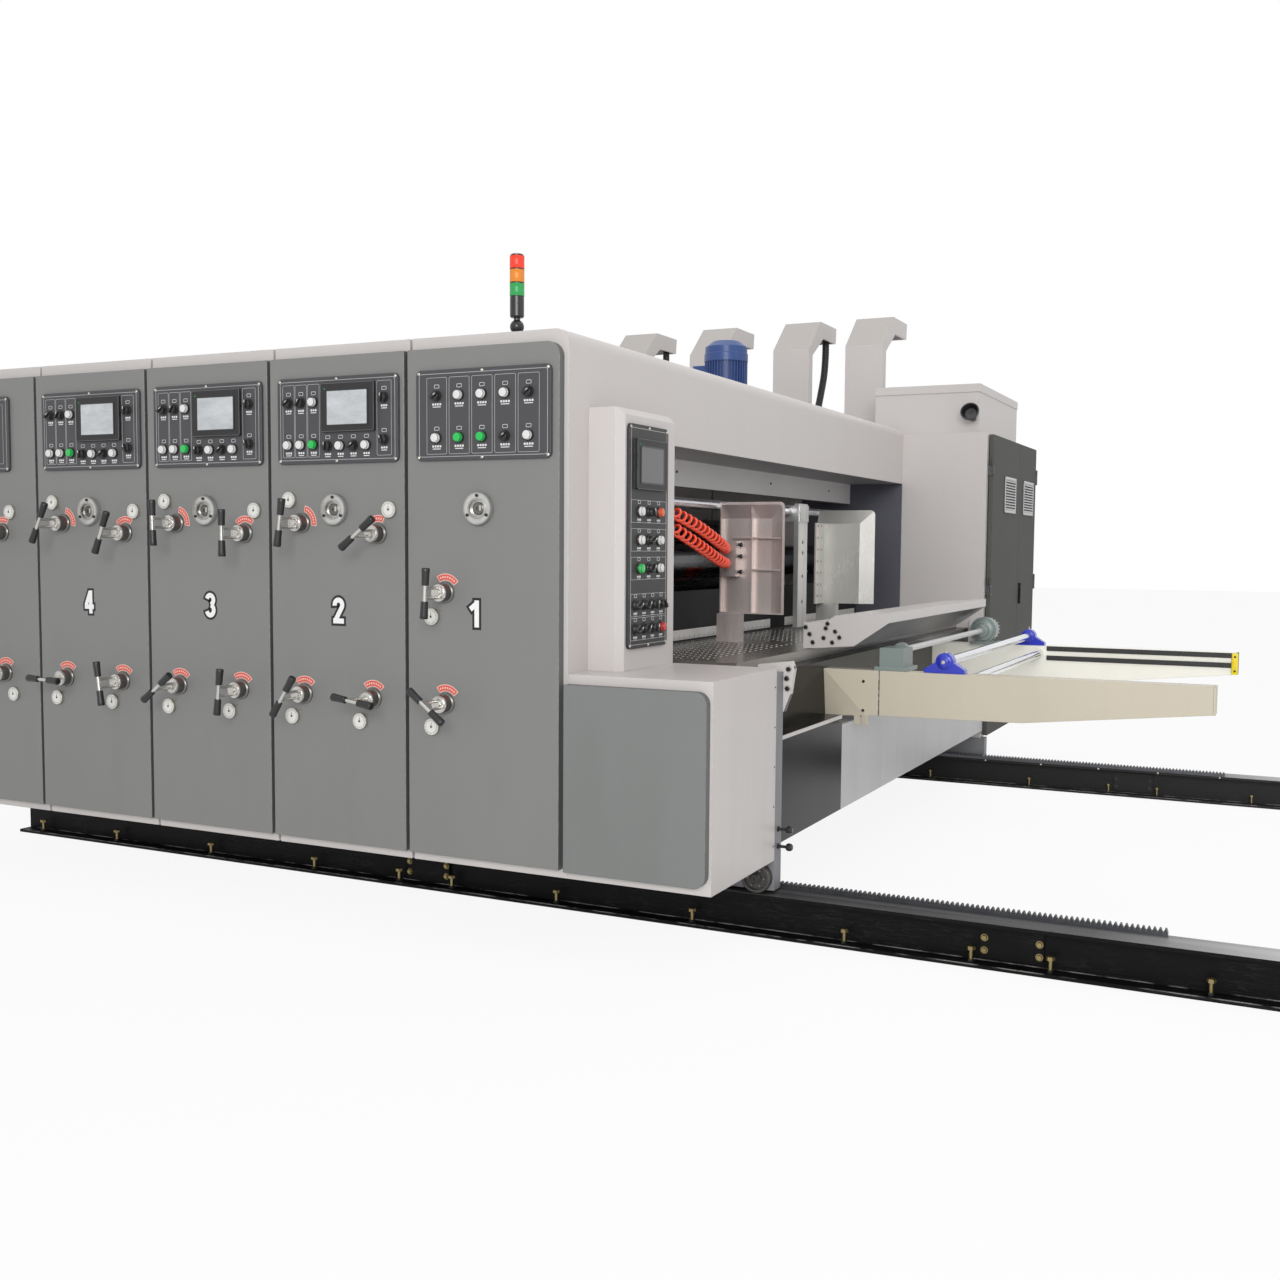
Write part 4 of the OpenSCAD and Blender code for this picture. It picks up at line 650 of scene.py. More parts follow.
def spun(start, stop, profile, sides=16):
    """Round bar between two points: a profile of (share of the way, radius), closed where the radius is 0."""
    start = np.array(start, float)
    stop = np.array(stop, float)
    profile = np.array(profile, float)
    way = (stop - start) / np.linalg.norm(stop - start)
    spare = np.array([0.0, 0.0, 1.0]) if abs(way[2]) < 0.9 else np.array([1.0, 0.0, 0.0])
    across = np.cross(way, spare)
    across = across / np.linalg.norm(across)
    path = start + profile[:, :1] * (stop - start)
    return carried(ring_of(sides), path, across, np.cross(way, across), profile[:, 1])


def hose_skin(path, radius, sides=14):
    """Tube along a path: a ring of the radius, given for each point, square to the path's run."""
    path = np.array(path, float)
    run = np.gradient(path, axis=0)
    run = run / np.linalg.norm(run, axis=1, keepdims=True)
    across = np.cross(run, (0.0, 1.0, 0.0))
    across = across / np.linalg.norm(across, axis=1, keepdims=True)
    return carried(ring_of(sides), path, across, np.cross(run, across), radius)


def many(shell, places):
    """The same shell at many places: one array of offsets added to its points."""
    points, faces = shell
    places = np.array(places, float).reshape(-1, 3)
    steps = np.arange(len(places)) * len(points)
    moved = points[None] + places[:, None]
    return moved.reshape(-1, 3), (faces[None] + steps[:, None, None]).reshape(-1, 3)


class Face:
    """A flat place: its point (u, v, n) is origin + u right + v up + n out, in the drawing's millimetres."""

    def __init__(self, origin, right, up):
        self.origin = np.array(origin, float)
        self.axes = np.array([right, up, np.cross(right, up)], float)

    def on(self, shell):
        """The shell moved from the face's own measures to the drawing's."""
        return shell[0] @ self.axes + self.origin, shell[1]


def operator_side(origin):
    """Face that looks towards the operator, -Y."""
    return Face(origin, (1.0, 0.0, 0.0), (0.0, 0.0, 1.0))


def drive_side(origin):
    """Face that looks towards the drive side, +Y."""
    return Face(origin, (-1.0, 0.0, 0.0), (0.0, 0.0, 1.0))


def cross_side(origin, out):
    """Face that looks towards the operator where out is below 0, and else towards the drive side."""
    return operator_side(origin) if out < 0 else drive_side(origin)


def feed_side(origin):
    """Face that looks towards the feed end, +X."""
    return Face(origin, (0.0, 1.0, 0.0), (0.0, 0.0, 1.0))


def piece(name, body, layers, crease=32.0):
    """One object at the origin from layers of (finish, shells), riding on a body."""
    points, faces, owner = [], [], []
    count = 0
    for number, (_, shells) in enumerate(layers):
        for shell_points, shell_faces in shells:
            points.append(shell_points)
            faces.append(shell_faces + count)
            owner.append(np.full(len(shell_faces), number))
            count += len(shell_points)
    placed = (np.concatenate(points) - ORIGIN) / 1000.0
    mesh = bpy.data.meshes.new(name)
    mesh.from_pydata(placed.tolist(), [], np.concatenate(faces).tolist())
    for finish, _ in layers:
        mesh.materials.append(finish)
    mesh.polygons.foreach_set("material_index", np.concatenate(owner).astype(np.int32))
    mesh.polygons.foreach_set("use_smooth", np.ones(len(mesh.polygons), bool))
    mesh.set_sharp_from_angle(angle=math.radians(crease))
    made = bpy.data.objects.new(name, mesh)
    bpy.context.collection.objects.link(made)
    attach(made, body)
    return made


# Coiled air hoses, before the other pieces

HOSE_TOP = [(105, 563, 1384), (105, 590, 1384), (75, 870, 1340), (10, 1220, 1285), (-85, 1510, 1262),
            (-85, 1540, 1262)]
HOSE_LOW = [(105, 563, 1331), (105, 590, 1331), (72, 870, 1278), (5, 1220, 1222), (-85, 1510, 1205),
            (-85, 1540, 1205)]
COIL_TURNS = 18
COIL_R = 18.0
COIL_STEPS = 18
HOSE_D = 0.010


def smooth_way(stops, count):
    """Line through the stops: a Catmull-Rom blend of each four neighbours, at even steps of its length."""
    stops = np.array(stops, float)
    padded = np.concatenate([2 * stops[:1] - stops[1:2], stops, 2 * stops[-1:] - stops[-2:-1]])
    share = np.linspace(0.0, len(stops) - 1.0, 40 * len(stops))
    leg = np.minimum(share.astype(int), len(stops) - 2)
    t = (share - leg)[:, None]
    p0, p1, p2, p3 = padded[leg], padded[leg + 1], padded[leg + 2], padded[leg + 3]
    way = 0.5 * (2 * p1 + (p2 - p0) * t + (2 * p0 - 5 * p1 + 4 * p2 - p3) * t ** 2
                 + (3 * p1 - p0 - 3 * p2 + p3) * t ** 3)
    run = np.concatenate([[0.0], np.cumsum(np.linalg.norm(np.diff(way, axis=0), axis=1))])
    even = np.linspace(0.0, run[-1], count)
    return np.stack([np.interp(even, run, way[:, axis]) for axis in range(3)], -1)


def coil_line(stops):
    """Helix about the hose's way: its radius swells from nothing at the gland and dies out at the block."""
    count = COIL_TURNS * COIL_STEPS
    way = smooth_way(stops, count)
    run = np.gradient(way, axis=0)
    run = run / np.linalg.norm(run, axis=1, keepdims=True)
    across = np.cross(run, (0.0, 0.0, 1.0))
    across = across / np.linalg.norm(across, axis=1, keepdims=True)
    share = np.linspace(0.0, 1.0, count)
    swell = np.clip(np.minimum(share, 1.0 - share) / 0.05 - 0.25, 0.0, 1.0)
    swell = COIL_R * (3.0 * swell ** 2 - 2.0 * swell ** 3)
    angle = 2.0 * np.pi * COIL_TURNS * share
    around = np.cos(angle)[:, None] * across + np.sin(angle)[:, None] * np.cross(across, run)
    return (way + swell[:, None] * around - ORIGIN) / 1000.0


def air_hose(name, solid, stops):
    """One coiled hose as a round curve, standing for its solid."""
    line = coil_line(stops)
    curve = bpy.data.curves.new(name, "CURVE")
    curve.dimensions = "3D"
    curve.bevel_depth = HOSE_D / 2.0
    curve.bevel_resolution = 3
    curve.use_fill_caps = True
    spline = curve.splines.new("POLY")
    spline.points.add(len(line) - 1)
    spline.points.foreach_set("co", np.concatenate([line, np.ones((len(line), 1))], axis=1).ravel())
    spline.use_smooth = True
    curve.materials.append(hose_orange)
    hose = bpy.data.objects.new(name, curve)
    bpy.context.collection.objects.link(hose)
    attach(hose, "feeder")
    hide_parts(solid)


air_hose("upper_air_hose", "upper_hose", HOSE_TOP)
air_hose("lower_air_hose", "lower_hose", HOSE_LOW)


# Small fittings

def disc(radius, thick, at=(0.0, 0.0, 0.0), sides=16):
    """Flat round plate, as a washer or a plain shank."""
    return turned([(0, 0), (radius, 0), (radius, thick), (0, thick)], at, sides)


def hex_bolt(radius, height, at=(0.0, 0.0, 0.0)):
    """Hexagon head with a chamfered crown."""
    return turned([(0, 0), (radius, 0), (radius, 0.8 * height), (0.86 * radius, height), (0, height)], at, 6)


def socket_screw(radius, height, at=(0.0, 0.0, 0.0)):
    """Cap screw: a rounded head with a sunk socket."""
    sunk = 0.4 * height
    head = [(0, 0), (radius, 0), (radius, 0.75 * height), (0.85 * radius, height), (0.5 * radius, height)]
    return turned(head + [(0.45 * radius, sunk), (0, sunk)], at, 14)


def pan_screw(radius, height, at=(0.0, 0.0, 0.0)):
    """Domed screw head."""
    dome = [(0.94 * radius, 0.5 * height), (0.6 * radius, 0.9 * height), (0, height)]
    return turned([(0, 0), (radius, 0)] + dome, at, 12)


def button_ring(at):
    """Metal collar round a push button."""
    bore = BUTTON_R + 0.2
    return turned([(bore, 0), (17.5, 0), (17.5, 3.5), (16, 6), (bore, 6)], at, 24, ring=True)


def button_cap(at):
    """Domed cap that covers a push button."""
    r = BUTTON_R + 0.4
    dome = [(r - 1.6, BUTTON_L + 0.6), (r - 5, BUTTON_L + 1.6), (0, BUTTON_L + 2)]
    return turned([(0, 0), (r, 0), (r, BUTTON_L - 2)] + dome, at, 24)


def knob_lever(at, turn):
    """Raised grip across a selector, a rounded bar carried up with a draft."""
    outline, _ = corners(30.0, 9.0, 4.0)
    rise = np.array([0.0, 0.0, 7.0, 9.0, 9.0])
    path = np.stack([0.0 * rise, 0.0 * rise, rise + BUTTON_L], -1) + np.array(at, float)
    angle = math.radians(turn)
    right = (math.cos(angle), math.sin(angle), 0.0)
    up = (-math.sin(angle), math.cos(angle), 0.0)
    return carried(outline, path, right, up, (0.0, 1.0, 0.94, 0.84, 0.0))


def knob_pointer(at, turn):
    """Pale line on top of a selector's grip, from near its middle to its end."""
    angle = math.radians(turn)
    way = np.array([math.cos(angle), math.sin(angle), 0.0])
    start = np.array(at, float) + 3.0 * way + [0.0, 0.0, BUTTON_L + 9.0]
    return spun(start, start + 9.0 * way, [(0, 0), (0, 1.2), (1, 1.2), (1, 0)], 6)


def print_marks(u, v, wide):
    """Two rows of plain marks: small blocks over a thin bar."""
    blocks = [(u + (i - (wide - 1) / 2.0) * 9.0, v, 0.0) for i in range(wide)]
    bar = plate(wide * 7.5, 2.6, 1.0, (u, v - 8.0, 0.0), 0.5)
    return [many(plate(6.4, 6.4, 1.0, (0, 0, 0), 0.5), blocks), bar]


CAPS = {"w": cap_white, "g": cap_green, "r": cap_red, "o": cap_orange, "k": black_plastic}


def console_buttons(face, places):
    """Layers of a console's buttons: collars, coloured caps and the levers of its selectors."""
    layers = [(dark_steel, [face.on(many(button_ring((0, 0, 0)), [(u, v, 0) for u, v, _ in places]))])]
    for kind in "wgrok":
        here = [(u, v, 0) for u, v, sort in places if sort == kind]
        if here:
            layers.append((CAPS[kind], [face.on(many(button_cap((0, 0, 0)), here))]))
    levers, pointers = [], []
    for i, (u, v, sort) in enumerate(places):
        if sort == "k":
            turn = 35 + 25 * (i % 4)
            levers.append(face.on(knob_lever((u, v, 0), turn)))
            pointers.append(face.on(knob_pointer((u, v, 0), turn)))
    if levers:
        layers.append((black_plastic, levers))
        layers.append((print_white, pointers))
    return layers


def console_print(face, width, height, boxes, places, wide):
    """Layers of a console's print and screws: outer line, column lines, plain marks and six screws."""
    lines = [face.on(border(width - 24, height - 24, 8, (width / 2, height / 2, 0), 1.8, 0.5))]
    marks = []
    for u, v, box_w, box_h in boxes:
        lines.append(face.on(border(box_w, box_h, 4, (u, v, 0), 1.4, 0.5)))
    for u, v, _ in places:
        marks.extend(face.on(shell) for shell in print_marks(u, v - 26.0, wide))
        marks.append(face.on(border(17, 10, 2, (u, v + 29.0, 0), 1.3, 0.5)))
    spots = [(u, v) for v in (10, height - 10) for u in (10, width - 10)]
    spots += [(width / 2, 8), (width / 2, height - 8)]
    screws = [face.on(pan_screw(5.0, 2.6, (u, v, 0))) for u, v in spots]
    return [(line_grey, lines), (print_white, marks), (zinc, screws)]


def screen_parts(face, u, v, wide, high, proud, glare_finish):
    """Layers of a touch screen on its bezel: line, dark frame and glass with a painted reflection, sunk a
    little.
    """
    line = face.on(border(wide - 3.0, high - 3.0, 5, (u, v, proud), 1.6, 0.4))
    rim = face.on(border(wide * 0.77, high * 0.72, 2, (u, v - 2, proud), 5.0, 1.4))
    glass = face.on(plate(wide * 0.75, high * 0.7, 2, (u, v - 2, proud), 0.8))
    lamp = face.on(pan_screw(2.2, 1.2, (u - wide * 0.42, v + high * 0.38, proud)))
    return [(black_plastic, [rim]), (tick_grey, [line]), (glare_finish, [glass]), (cap_green, [lamp])]


# Printing sections' consoles

SECTION_BODIES = {1: "feeder", 2: "unit_2", 3: "unit_3", 4: "unit_4", 5: "base"}
COLUMNS = (46.0, 98.0, 150.0)
PAIRS = (208.0, 260.0, 312.0, 364.0)
LAST_COLUMN = 434.0
SCREEN_W = 214.0
SCREEN_H = 157.0
CONSOLE_SHIFT = 12.0
HIGH_ROW = 200
LOW_ROW = 62
SCREEN_T = 12.0


def section_console(k):
    """Buttons, print and screen of printing section k."""
    left = -(k - 0.5) * PITCH + CONSOLE_SHIFT - CONSOLE_W / 2.0
    face = operator_side((left, -CONSOLE_T, CONSOLE_FOOT))
    places = list(zip(COLUMNS * 2, (HIGH_ROW,) * 3 + (LOW_ROW,) * 3, "kkwwwg"))
    places += list(zip(PAIRS, (56,) * 4, "kwkw"))
    places += [(LAST_COLUMN, 205, "k"), (LAST_COLUMN, 72, "k")]
    boxes = [(u, 140, 48, 236) for u in COLUMNS] + [(LAST_COLUMN, 140, 56, 236)]
    body = SECTION_BODIES[k]
    piece(f"console_{k}_buttons", body, console_buttons(face, places))
    printed = console_print(face, CONSOLE_W, CONSOLE_H, boxes, places, 3)
    piece(f"console_{k}_print", body, printed)
    screen = screen_parts(face, 188 + SCREEN_W / 2, 101 + SCREEN_H / 2, SCREEN_W, SCREEN_H, SCREEN_T, glare_display)
    piece(f"console_{k}_screen", body, screen)


for section in (2, 3, 4):
    section_console(section)


FEEDER_STEP = 83.2
FEEDER_LOW_ROW = 70


def feeder_console():
    """Five columns of two buttons on the feeder's door."""
    face = operator_side((-0.5 * PITCH + CONSOLE_SHIFT - CONSOLE_W / 2.0, -CONSOLE_T, CONSOLE_FOOT))
    us = tuple(CONSOLE_W / 2 + i * FEEDER_STEP for i in range(-2, 3))
    places = list(zip(us * 2, (HIGH_ROW,) * 5 + (FEEDER_LOW_ROW,) * 5, "kwwwkwggkw"))
    piece("console_1_buttons", "feeder", console_buttons(face, places))
    boxes = [(u, 138, 74, 236) for u in us]
    printed = console_print(face, CONSOLE_W, CONSOLE_H, boxes, places, 4)
    piece("console_1_print", "feeder", printed)


def end_console():
    """Plain marks only, on the end section's plate."""
    low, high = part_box("end_console")
    left = low[0] * 1000 + ORIGIN[0]
    width = (high[0] - low[0]) * 1000
    face = operator_side((left, -CONSOLE_T, CONSOLE_FOOT))
    spots = [(u, v, "m") for u in (110, 244, 378) for v in (85, 150, 215)]
    boxes = [(width / 2, CONSOLE_H / 2, width - 60, CONSOLE_H - 60)]
    printed = console_print(face, width, CONSOLE_H, boxes, spots, 6)
    piece("console_5_print", "base", printed)


PILLAR_AT = (141.0, 187.5, 950.5)
PILLAR_W = 280.0
PILLAR_H = 698.0
PILLAR_SCREEN = 497.0
PILLAR_ROWS = ((61, "kkkr", 62), (136, "kkkk", 62), (251, "gkw", 70), (340, "wkw", 70), (429, "wko", 70))


def pillar_console():
    """Touch screen, three rows of three and two rows of four on the pillar."""
    face = feed_side(PILLAR_AT)
    centre = PILLAR_W / 2.0
    places = []
    for height, kinds, step in PILLAR_ROWS:
        middle = (len(kinds) - 1) / 2.0
        places += [(centre + step * (i - middle), height, kind) for i, kind in enumerate(kinds)]
    boxes = [(centre, height, 252, 70) for height, _, _ in PILLAR_ROWS]
    piece("pillar_buttons", "feeder", console_buttons(face, places))
    printed = console_print(face, PILLAR_W, PILLAR_H, boxes, places, 3)
    piece("pillar_print", "feeder", printed)
    screen_v = PILLAR_SCREEN + SCREEN_H / 2
    screen = screen_parts(face, centre, screen_v, SCREEN_W, SCREEN_H, SCREEN_T, dark_glare_display)
    piece("pillar_screen", "feeder", screen)


feeder_console()
end_console()
pillar_console()

# Doors: T-handles, dials, sight flanges, curved labels and numerals

DOORS = operator_side((0.0, 0.0, DOOR_FOOT))
BOSS_L = 40.0
BAR_OUT = 112.0
DIAL_T = 12.0
DIAL_SIDE = 48.0
DIAL_RISE = 77.0
# Hubs of a printing section with the dial's corner, then each T-bar's tilt and its label's angle
HUBS = ((137, 1058, (-1, 1)), (448, 1024, (1, 1)), (142, 490, (-1, -1)), (424, 490, (-1, -1)))
TURNS = {2: ((82, 34), (37, 108), (56, 88), (-8, 86)),
         3: ((91, 34), (90, 92), (37, 84), (84, 82)),
         4: ((63, 34), (67, 96), (-2, 88), (98, 84))}
OUTER_HANDLES = {
    1: [(-409, 840, 87, 80, (-1, -1)), (-409, 490, -38, 82, (-1, -1))],
    5: [(-2421, 1024, 70, 100, (1, 1)), (-2798, 1024, 95, 80, (-1, 1)), (-2421, 490, 40, 90, (1, -1)),
        (-2798, 490, 88, 90, (-1, -1))],
}
SIGHTS = {k: (-k * PITCH + 277.0, 1102.0) for k in (1, 2, 3, 4)}
SLEEVE = [(26.6, 0), (33, 0), (33, 5), (30, 8), (27.7, 9), (27.7, 35), (26.6, 37)]
BOSS_FACE = [(0, 0), (22, 0), (22, 1.4), (20, 2.6), (0, 2.6)]
GRIP_START = 24.8
GRIP_END = 78.6
MARK_STEP = 10.5
GRIP_SHAPE = [(0.0, 0.0), (0.0, 11.2), (0.05, 11.4), (0.5, 11.8), (0.8, 12.8), (0.95, 12.9), (1.0, 11.3),
              (1.0, 0.0)]


def handle_places(k):
    """Hub places of section k on the doors' face, with tilt, label angle and the dial's corner."""
    if k in OUTER_HANDLES:
        return OUTER_HANDLES[k]
    return [(u - k * PITCH, v, tilt, lean, corner) for (u, v, corner), (tilt, lean) in zip(HUBS, TURNS[k])]


def handle_grips(k):
    """Black grips over both ends of every T-bar, dark boss sleeves, bright faces and their screws."""
    grips, sleeves, faces, screws = [], [], [], []
    for u, v, tilt, _, _ in handle_places(k):
        angle = math.radians(tilt)
        along = np.array([math.cos(angle), math.sin(angle), 0.0])
        hub = np.array([u, v, BAR_OUT])
        for side in (-1.0, 1.0):
            start = hub + side * GRIP_START * along
            grips.append(DOORS.on(spun(start, hub + side * GRIP_END * along, GRIP_SHAPE, 18)))
        sleeves.append(DOORS.on(turned(SLEEVE, (u, v, 0), 32, ring=True)))
        faces.append(DOORS.on(turned(BOSS_FACE, (u, v, BOSS_L), 28)))
        screws.append(DOORS.on(hex_bolt(8.5, 5.5, (u, v, BOSS_L + 2.6))))
    layers = [(grip_rubber, grips), (collar_steel, sleeves), (turned_steel, faces), (zinc, screws)]
    piece(f"handle_grips_{k}", SECTION_BODIES[k], layers)


def dial_faces(k):
    """Pale dials: bright rim, raised ticks all round, pointer, centre screw and a grub screw beside each."""
    rims, discs, ticks, screws, grubs = [], [], [], [], []
    rim = [(25, 0), (27, 0), (27, DIAL_T), (26, DIAL_T + 1.4), (25, DIAL_T + 1.4)]
    sheet = [(0, DIAL_T - 0.4), (25.4, DIAL_T - 0.4), (25.4, DIAL_T + 0.6), (0, DIAL_T + 0.6)]
    for u, v, _, _, corner in handle_places(k):
        at = np.array([u + corner[0] * DIAL_SIDE, v + corner[1] * DIAL_RISE, 0.0])
        top = at + [0.0, 0.0, DIAL_T + 0.7]
        rims.append(DOORS.on(turned(rim, at, 36, ring=True)))
        discs.append(DOORS.on(turned(sheet, at, 36)))
        for turn in np.radians(np.arange(0, 360, 12)):
            way = np.array([math.cos(turn), math.sin(turn), 0.0])
            tick = spun(top + 18.5 * way, top + 23.5 * way, [(0, 0), (0, 0.6), (1, 0.6), (1, 0)], 4)
            ticks.append(DOORS.on(tick))
        pointer = spun(top + [0, 4, 0], top + [0, 16, 0], [(0, 0), (0, 1.3), (1, 0.4), (1, 0)], 4)
        ticks.append(DOORS.on(pointer))
        screws.append(DOORS.on(pan_screw(3.6, 2.4, at + [0, 0, DIAL_T + 0.6])))
        grubs.append(DOORS.on(pan_screw(3.4, 2.2, at + [-corner[0] * 26.0, -corner[1] * 22.0, 0.0])))
    layers = [(zinc, rims), (dial_white, discs), (tick_grey, ticks), (dark_steel, screws), (brass, grubs)]
    piece(f"dial_faces_{k}", SECTION_BODIES[k], layers)


def curved_labels(k):
    """Red bands round the hubs: a pale band under a red one, with plain marks along it."""
    pale, red, marks = [], [], []
    for u, v, _, lean, _ in handle_places(k):
        pale.append(DOORS.on(arc_band(38, 60, lean - 44, lean + 44, (u, v, 0), 0.5)))
        red.append(DOORS.on(arc_band(40.5, 57.5, lean - 41, lean + 41, (u, v, 0.5), 0.4)))
        for step in range(-3, 4):
            turn = lean + MARK_STEP * step
            marks.append(DOORS.on(arc_band(46, 52, turn - 3, turn + 3, (u, v, 0.9), 0.3)))
    layers = [(label_pale, pale + marks), (label_red, red)]
    piece(f"curved_labels_{k}", SECTION_BODIES[k], layers)


def sight_fittings(k):
    """Sight flange: chamfered collar, three cap screws, and the shaft end that shows in its bore."""
    u, v = SIGHTS[k]
    at = (u, v, 0)
    collar = turned([(27.4, 17.5), (33, 17.5), (33, 19.5), (30, 21), (27.4, 21)], at, 40, ring=True)
    rim = turned([(49.6, 0), (51.4, 0), (51.4, 15), (50, 18.4), (46, 18.6), (46, 17.6), (49.6, 17.6)], at, 48,
                 ring=True)
    spots = [(u + 40 * math.cos(a), v + 40 * math.sin(a), 17.8) for a in np.radians([90, 210, 330])]
    shaft = turned([(0, 5.8), (20, 5.8), (20, 10), (17, 12), (6, 12), (5, 9), (0, 9)], at, 28)
    key = plate(7, 16, 1.5, (u + 9, v + 2, 11.5), 2.0)
    layers = [(flange_steel, [DOORS.on(collar), DOORS.on(rim)]),
              (bolt_black, [DOORS.on(many(socket_screw(5, 4), spots))]),
              (collar_steel, [DOORS.on(shaft)]), (zinc, [DOORS.on(key)])]
    piece(f"sight_fittings_{k}", SECTION_BODIES[k], layers)


def bow(x, y, wide, high, start, stop):
    """Points along part of an ellipse, in degrees."""
    angle = np.radians(np.linspace(start, stop, 18))
    return np.stack([x + wide * np.cos(angle), y + high * np.sin(angle)], -1)


def straight(x0, y0, x1, y1):
    """Two points of a straight stroke."""
    return np.array([[x0, y0], [x1, y1]], float)


# Numerals as strokes about their middle, for a height of 100
STROKES = {
    1: [straight(9.5, -50, 9.5, 50), straight(9.5, 38, -18.5, 16.5)],
    2: [np.concatenate([bow(0, 22, 18.5, 19, 190, -30), [[-12, -34], [-17, -44]]]),
        straight(-26, -41, 26, -41)],
    3: [bow(-1, 22, 18, 19, 165, -80), bow(-1, -20, 19, 21, 80, -165)],
    4: [straight(9, -50, 9, 50), straight(6, 44, -19, -14), straight(-27, -20.5, 27, -20.5)],
}
NUMERALS = {1: (257.0, 776.0), 2: (285.0, 772.0), 3: (287.0, 775.0), 4: (260.0, 772.0)}
NUMERAL_H = 84.0
STROKE_W = 16.5
NUMERAL_EDGE = 8.0


def stroke(line, width, longer, thick):
    """Band of even width along a flat line: an oblong profile carried square to it, its ends drawn out."""
    run = np.gradient(line, axis=0)
    run = run / np.linalg.norm(run, axis=1, keepdims=True)
    line = np.concatenate([line[:1] - longer * run[:1], line, line[-1:] + longer * run[-1:]])
    line = np.concatenate([line[:1], line, line[-1:]])
    run = np.concatenate([run[:1], run[:1], run, run[-1:], run[-1:]])
    zero = np.zeros(len(line))
    scale = np.ones(len(line))
    scale[[0, -1]] = 0.0
    path = np.stack([line[:, 0], line[:, 1], zero], -1)
    across = np.stack([-run[:, 1], run[:, 0], zero], -1)
    return carried(oblong(width, thick), path, across, (0.0, 0.0, 1.0), scale)


def section_number(k):
    """White strokes over wider dark ones, each a little higher than the one before, so that none coincide."""
    u, v = NUMERALS[k]
    at = np.array([-k * PITCH + u, v, 0.0])
    back, top = [], []
    bands = ((back, STROKE_W + 2 * NUMERAL_EDGE, NUMERAL_EDGE, 0.3), (top, STROKE_W, 0.0, 0.6))
    for number, line in enumerate(STROKES[k]):
        for shells, width, longer, thick in bands:
            points, faces = stroke(line * NUMERAL_H / 100.0, width, longer, thick + 0.05 * number)
            shells.append(DOORS.on((points + at, faces)))
    piece(f"section_number_{k}", SECTION_BODIES[k], [(number_edge, back), (number_white, top)])


for section in (1, 2, 3, 4, 5):
    handle_grips(section)
    dial_faces(section)
    curved_labels(section)
for section in (1, 2, 3, 4):
    sight_fittings(section)
    section_number(section)

# Floor rails: levelling bolts, splice bolts and the racks' screws

BOLT_PLACES = (118.0, 560.0, 1085.0, 1615.0, 2017.0)
BOLT_IN = 26.0
BOLT_UP = 37.0
SPLICE_OUT = 17.0
SPLICES = (RAIL_START + RAIL_LEN, RAIL_START + 2.0 * RAIL_LEN)


def levelling_bolts():
    """Long bolts that stand on both lower flanges of every rail piece: shank, nut and hexagon head."""
    xs = [RAIL_START + RAIL_LEN * i + place for i in range(3) for place in BOLT_PLACES]
    layers = []
    for start, size in zip(RAIL_SIDES, (1.0, 0.75)):
        head = hex_bolt(13.5 * size, 11.0 * size, (0, 0, BOLT_UP))
        shank = disc(6.0 * size, BOLT_UP, sides=12)
        nut = hex_bolt(11.5 * size, 8.0 * size)
        places = [(x, start + side, FLANGE) for x in xs for side in (BOLT_IN, RAIL_W - BOLT_IN)]
        layers += [(brass, [many(head, places), many(shank, places)]), (bolt_black, [many(nut, places)])]
    piece("levelling_bolts", "base", layers)


def splice_bolts():
    """Four bolts on washers on each side of a splice, bright on the near rail and dark on the far one."""
    bolt = hex_bolt(9.0, 7.0, (0, 0, 2))
    washer = disc(11.5, 2)
    spots = [(s + side * 82.0, z) for s in SPLICES for side in (-1, 1) for z in (47.0, 86.0)]
    layers = []
    for start, finish in zip(RAIL_SIDES, (brass, bolt_black)):
        for out in (-1.0, 1.0):
            face = cross_side((0.0, start + RAIL_W / 2 + out * SPLICE_OUT, 0.0), out)
            here = [(-out * x, z, 0.0) for x, z in spots]
            layers.append((finish, [face.on(many(bolt, here)), face.on(many(washer, here))]))
    piece("splice_bolts", "base", layers)


def rack_screws():
    """Small screws along the racks' inner sides."""
    xs = np.arange(-2100.0, 1680.0, 290.0)
    dots = []
    for y, out in ((RAIL_SIDES[0] + RAIL_W, 1.0), (RAIL_SIDES[1], -1.0)):
        face = cross_side((0.0, y, 0.0), out)
        dots.append(face.on(many(pan_screw(4.5, 3.0), [(-out * x, RAIL_H - 6.0, 0.0) for x in xs])))
    piece("rack_screws", "base", [(zinc, dots)])


levelling_bolts()
splice_bolts()
rack_screws()

# Feeder: table rollers, rulers, bolts, knobs, lenses and caps

ROLLER_R = 9.0
ROLLER_PROUD = 2.0
ROLLERS_BLOCKED = ((1480, 1680, 180), (2700, 2900, 180), (2420, 2600, -80))
RULERS = ((640.0, 2420.0), (2620.0, 3740.0))
ROLLER_W = 11.0


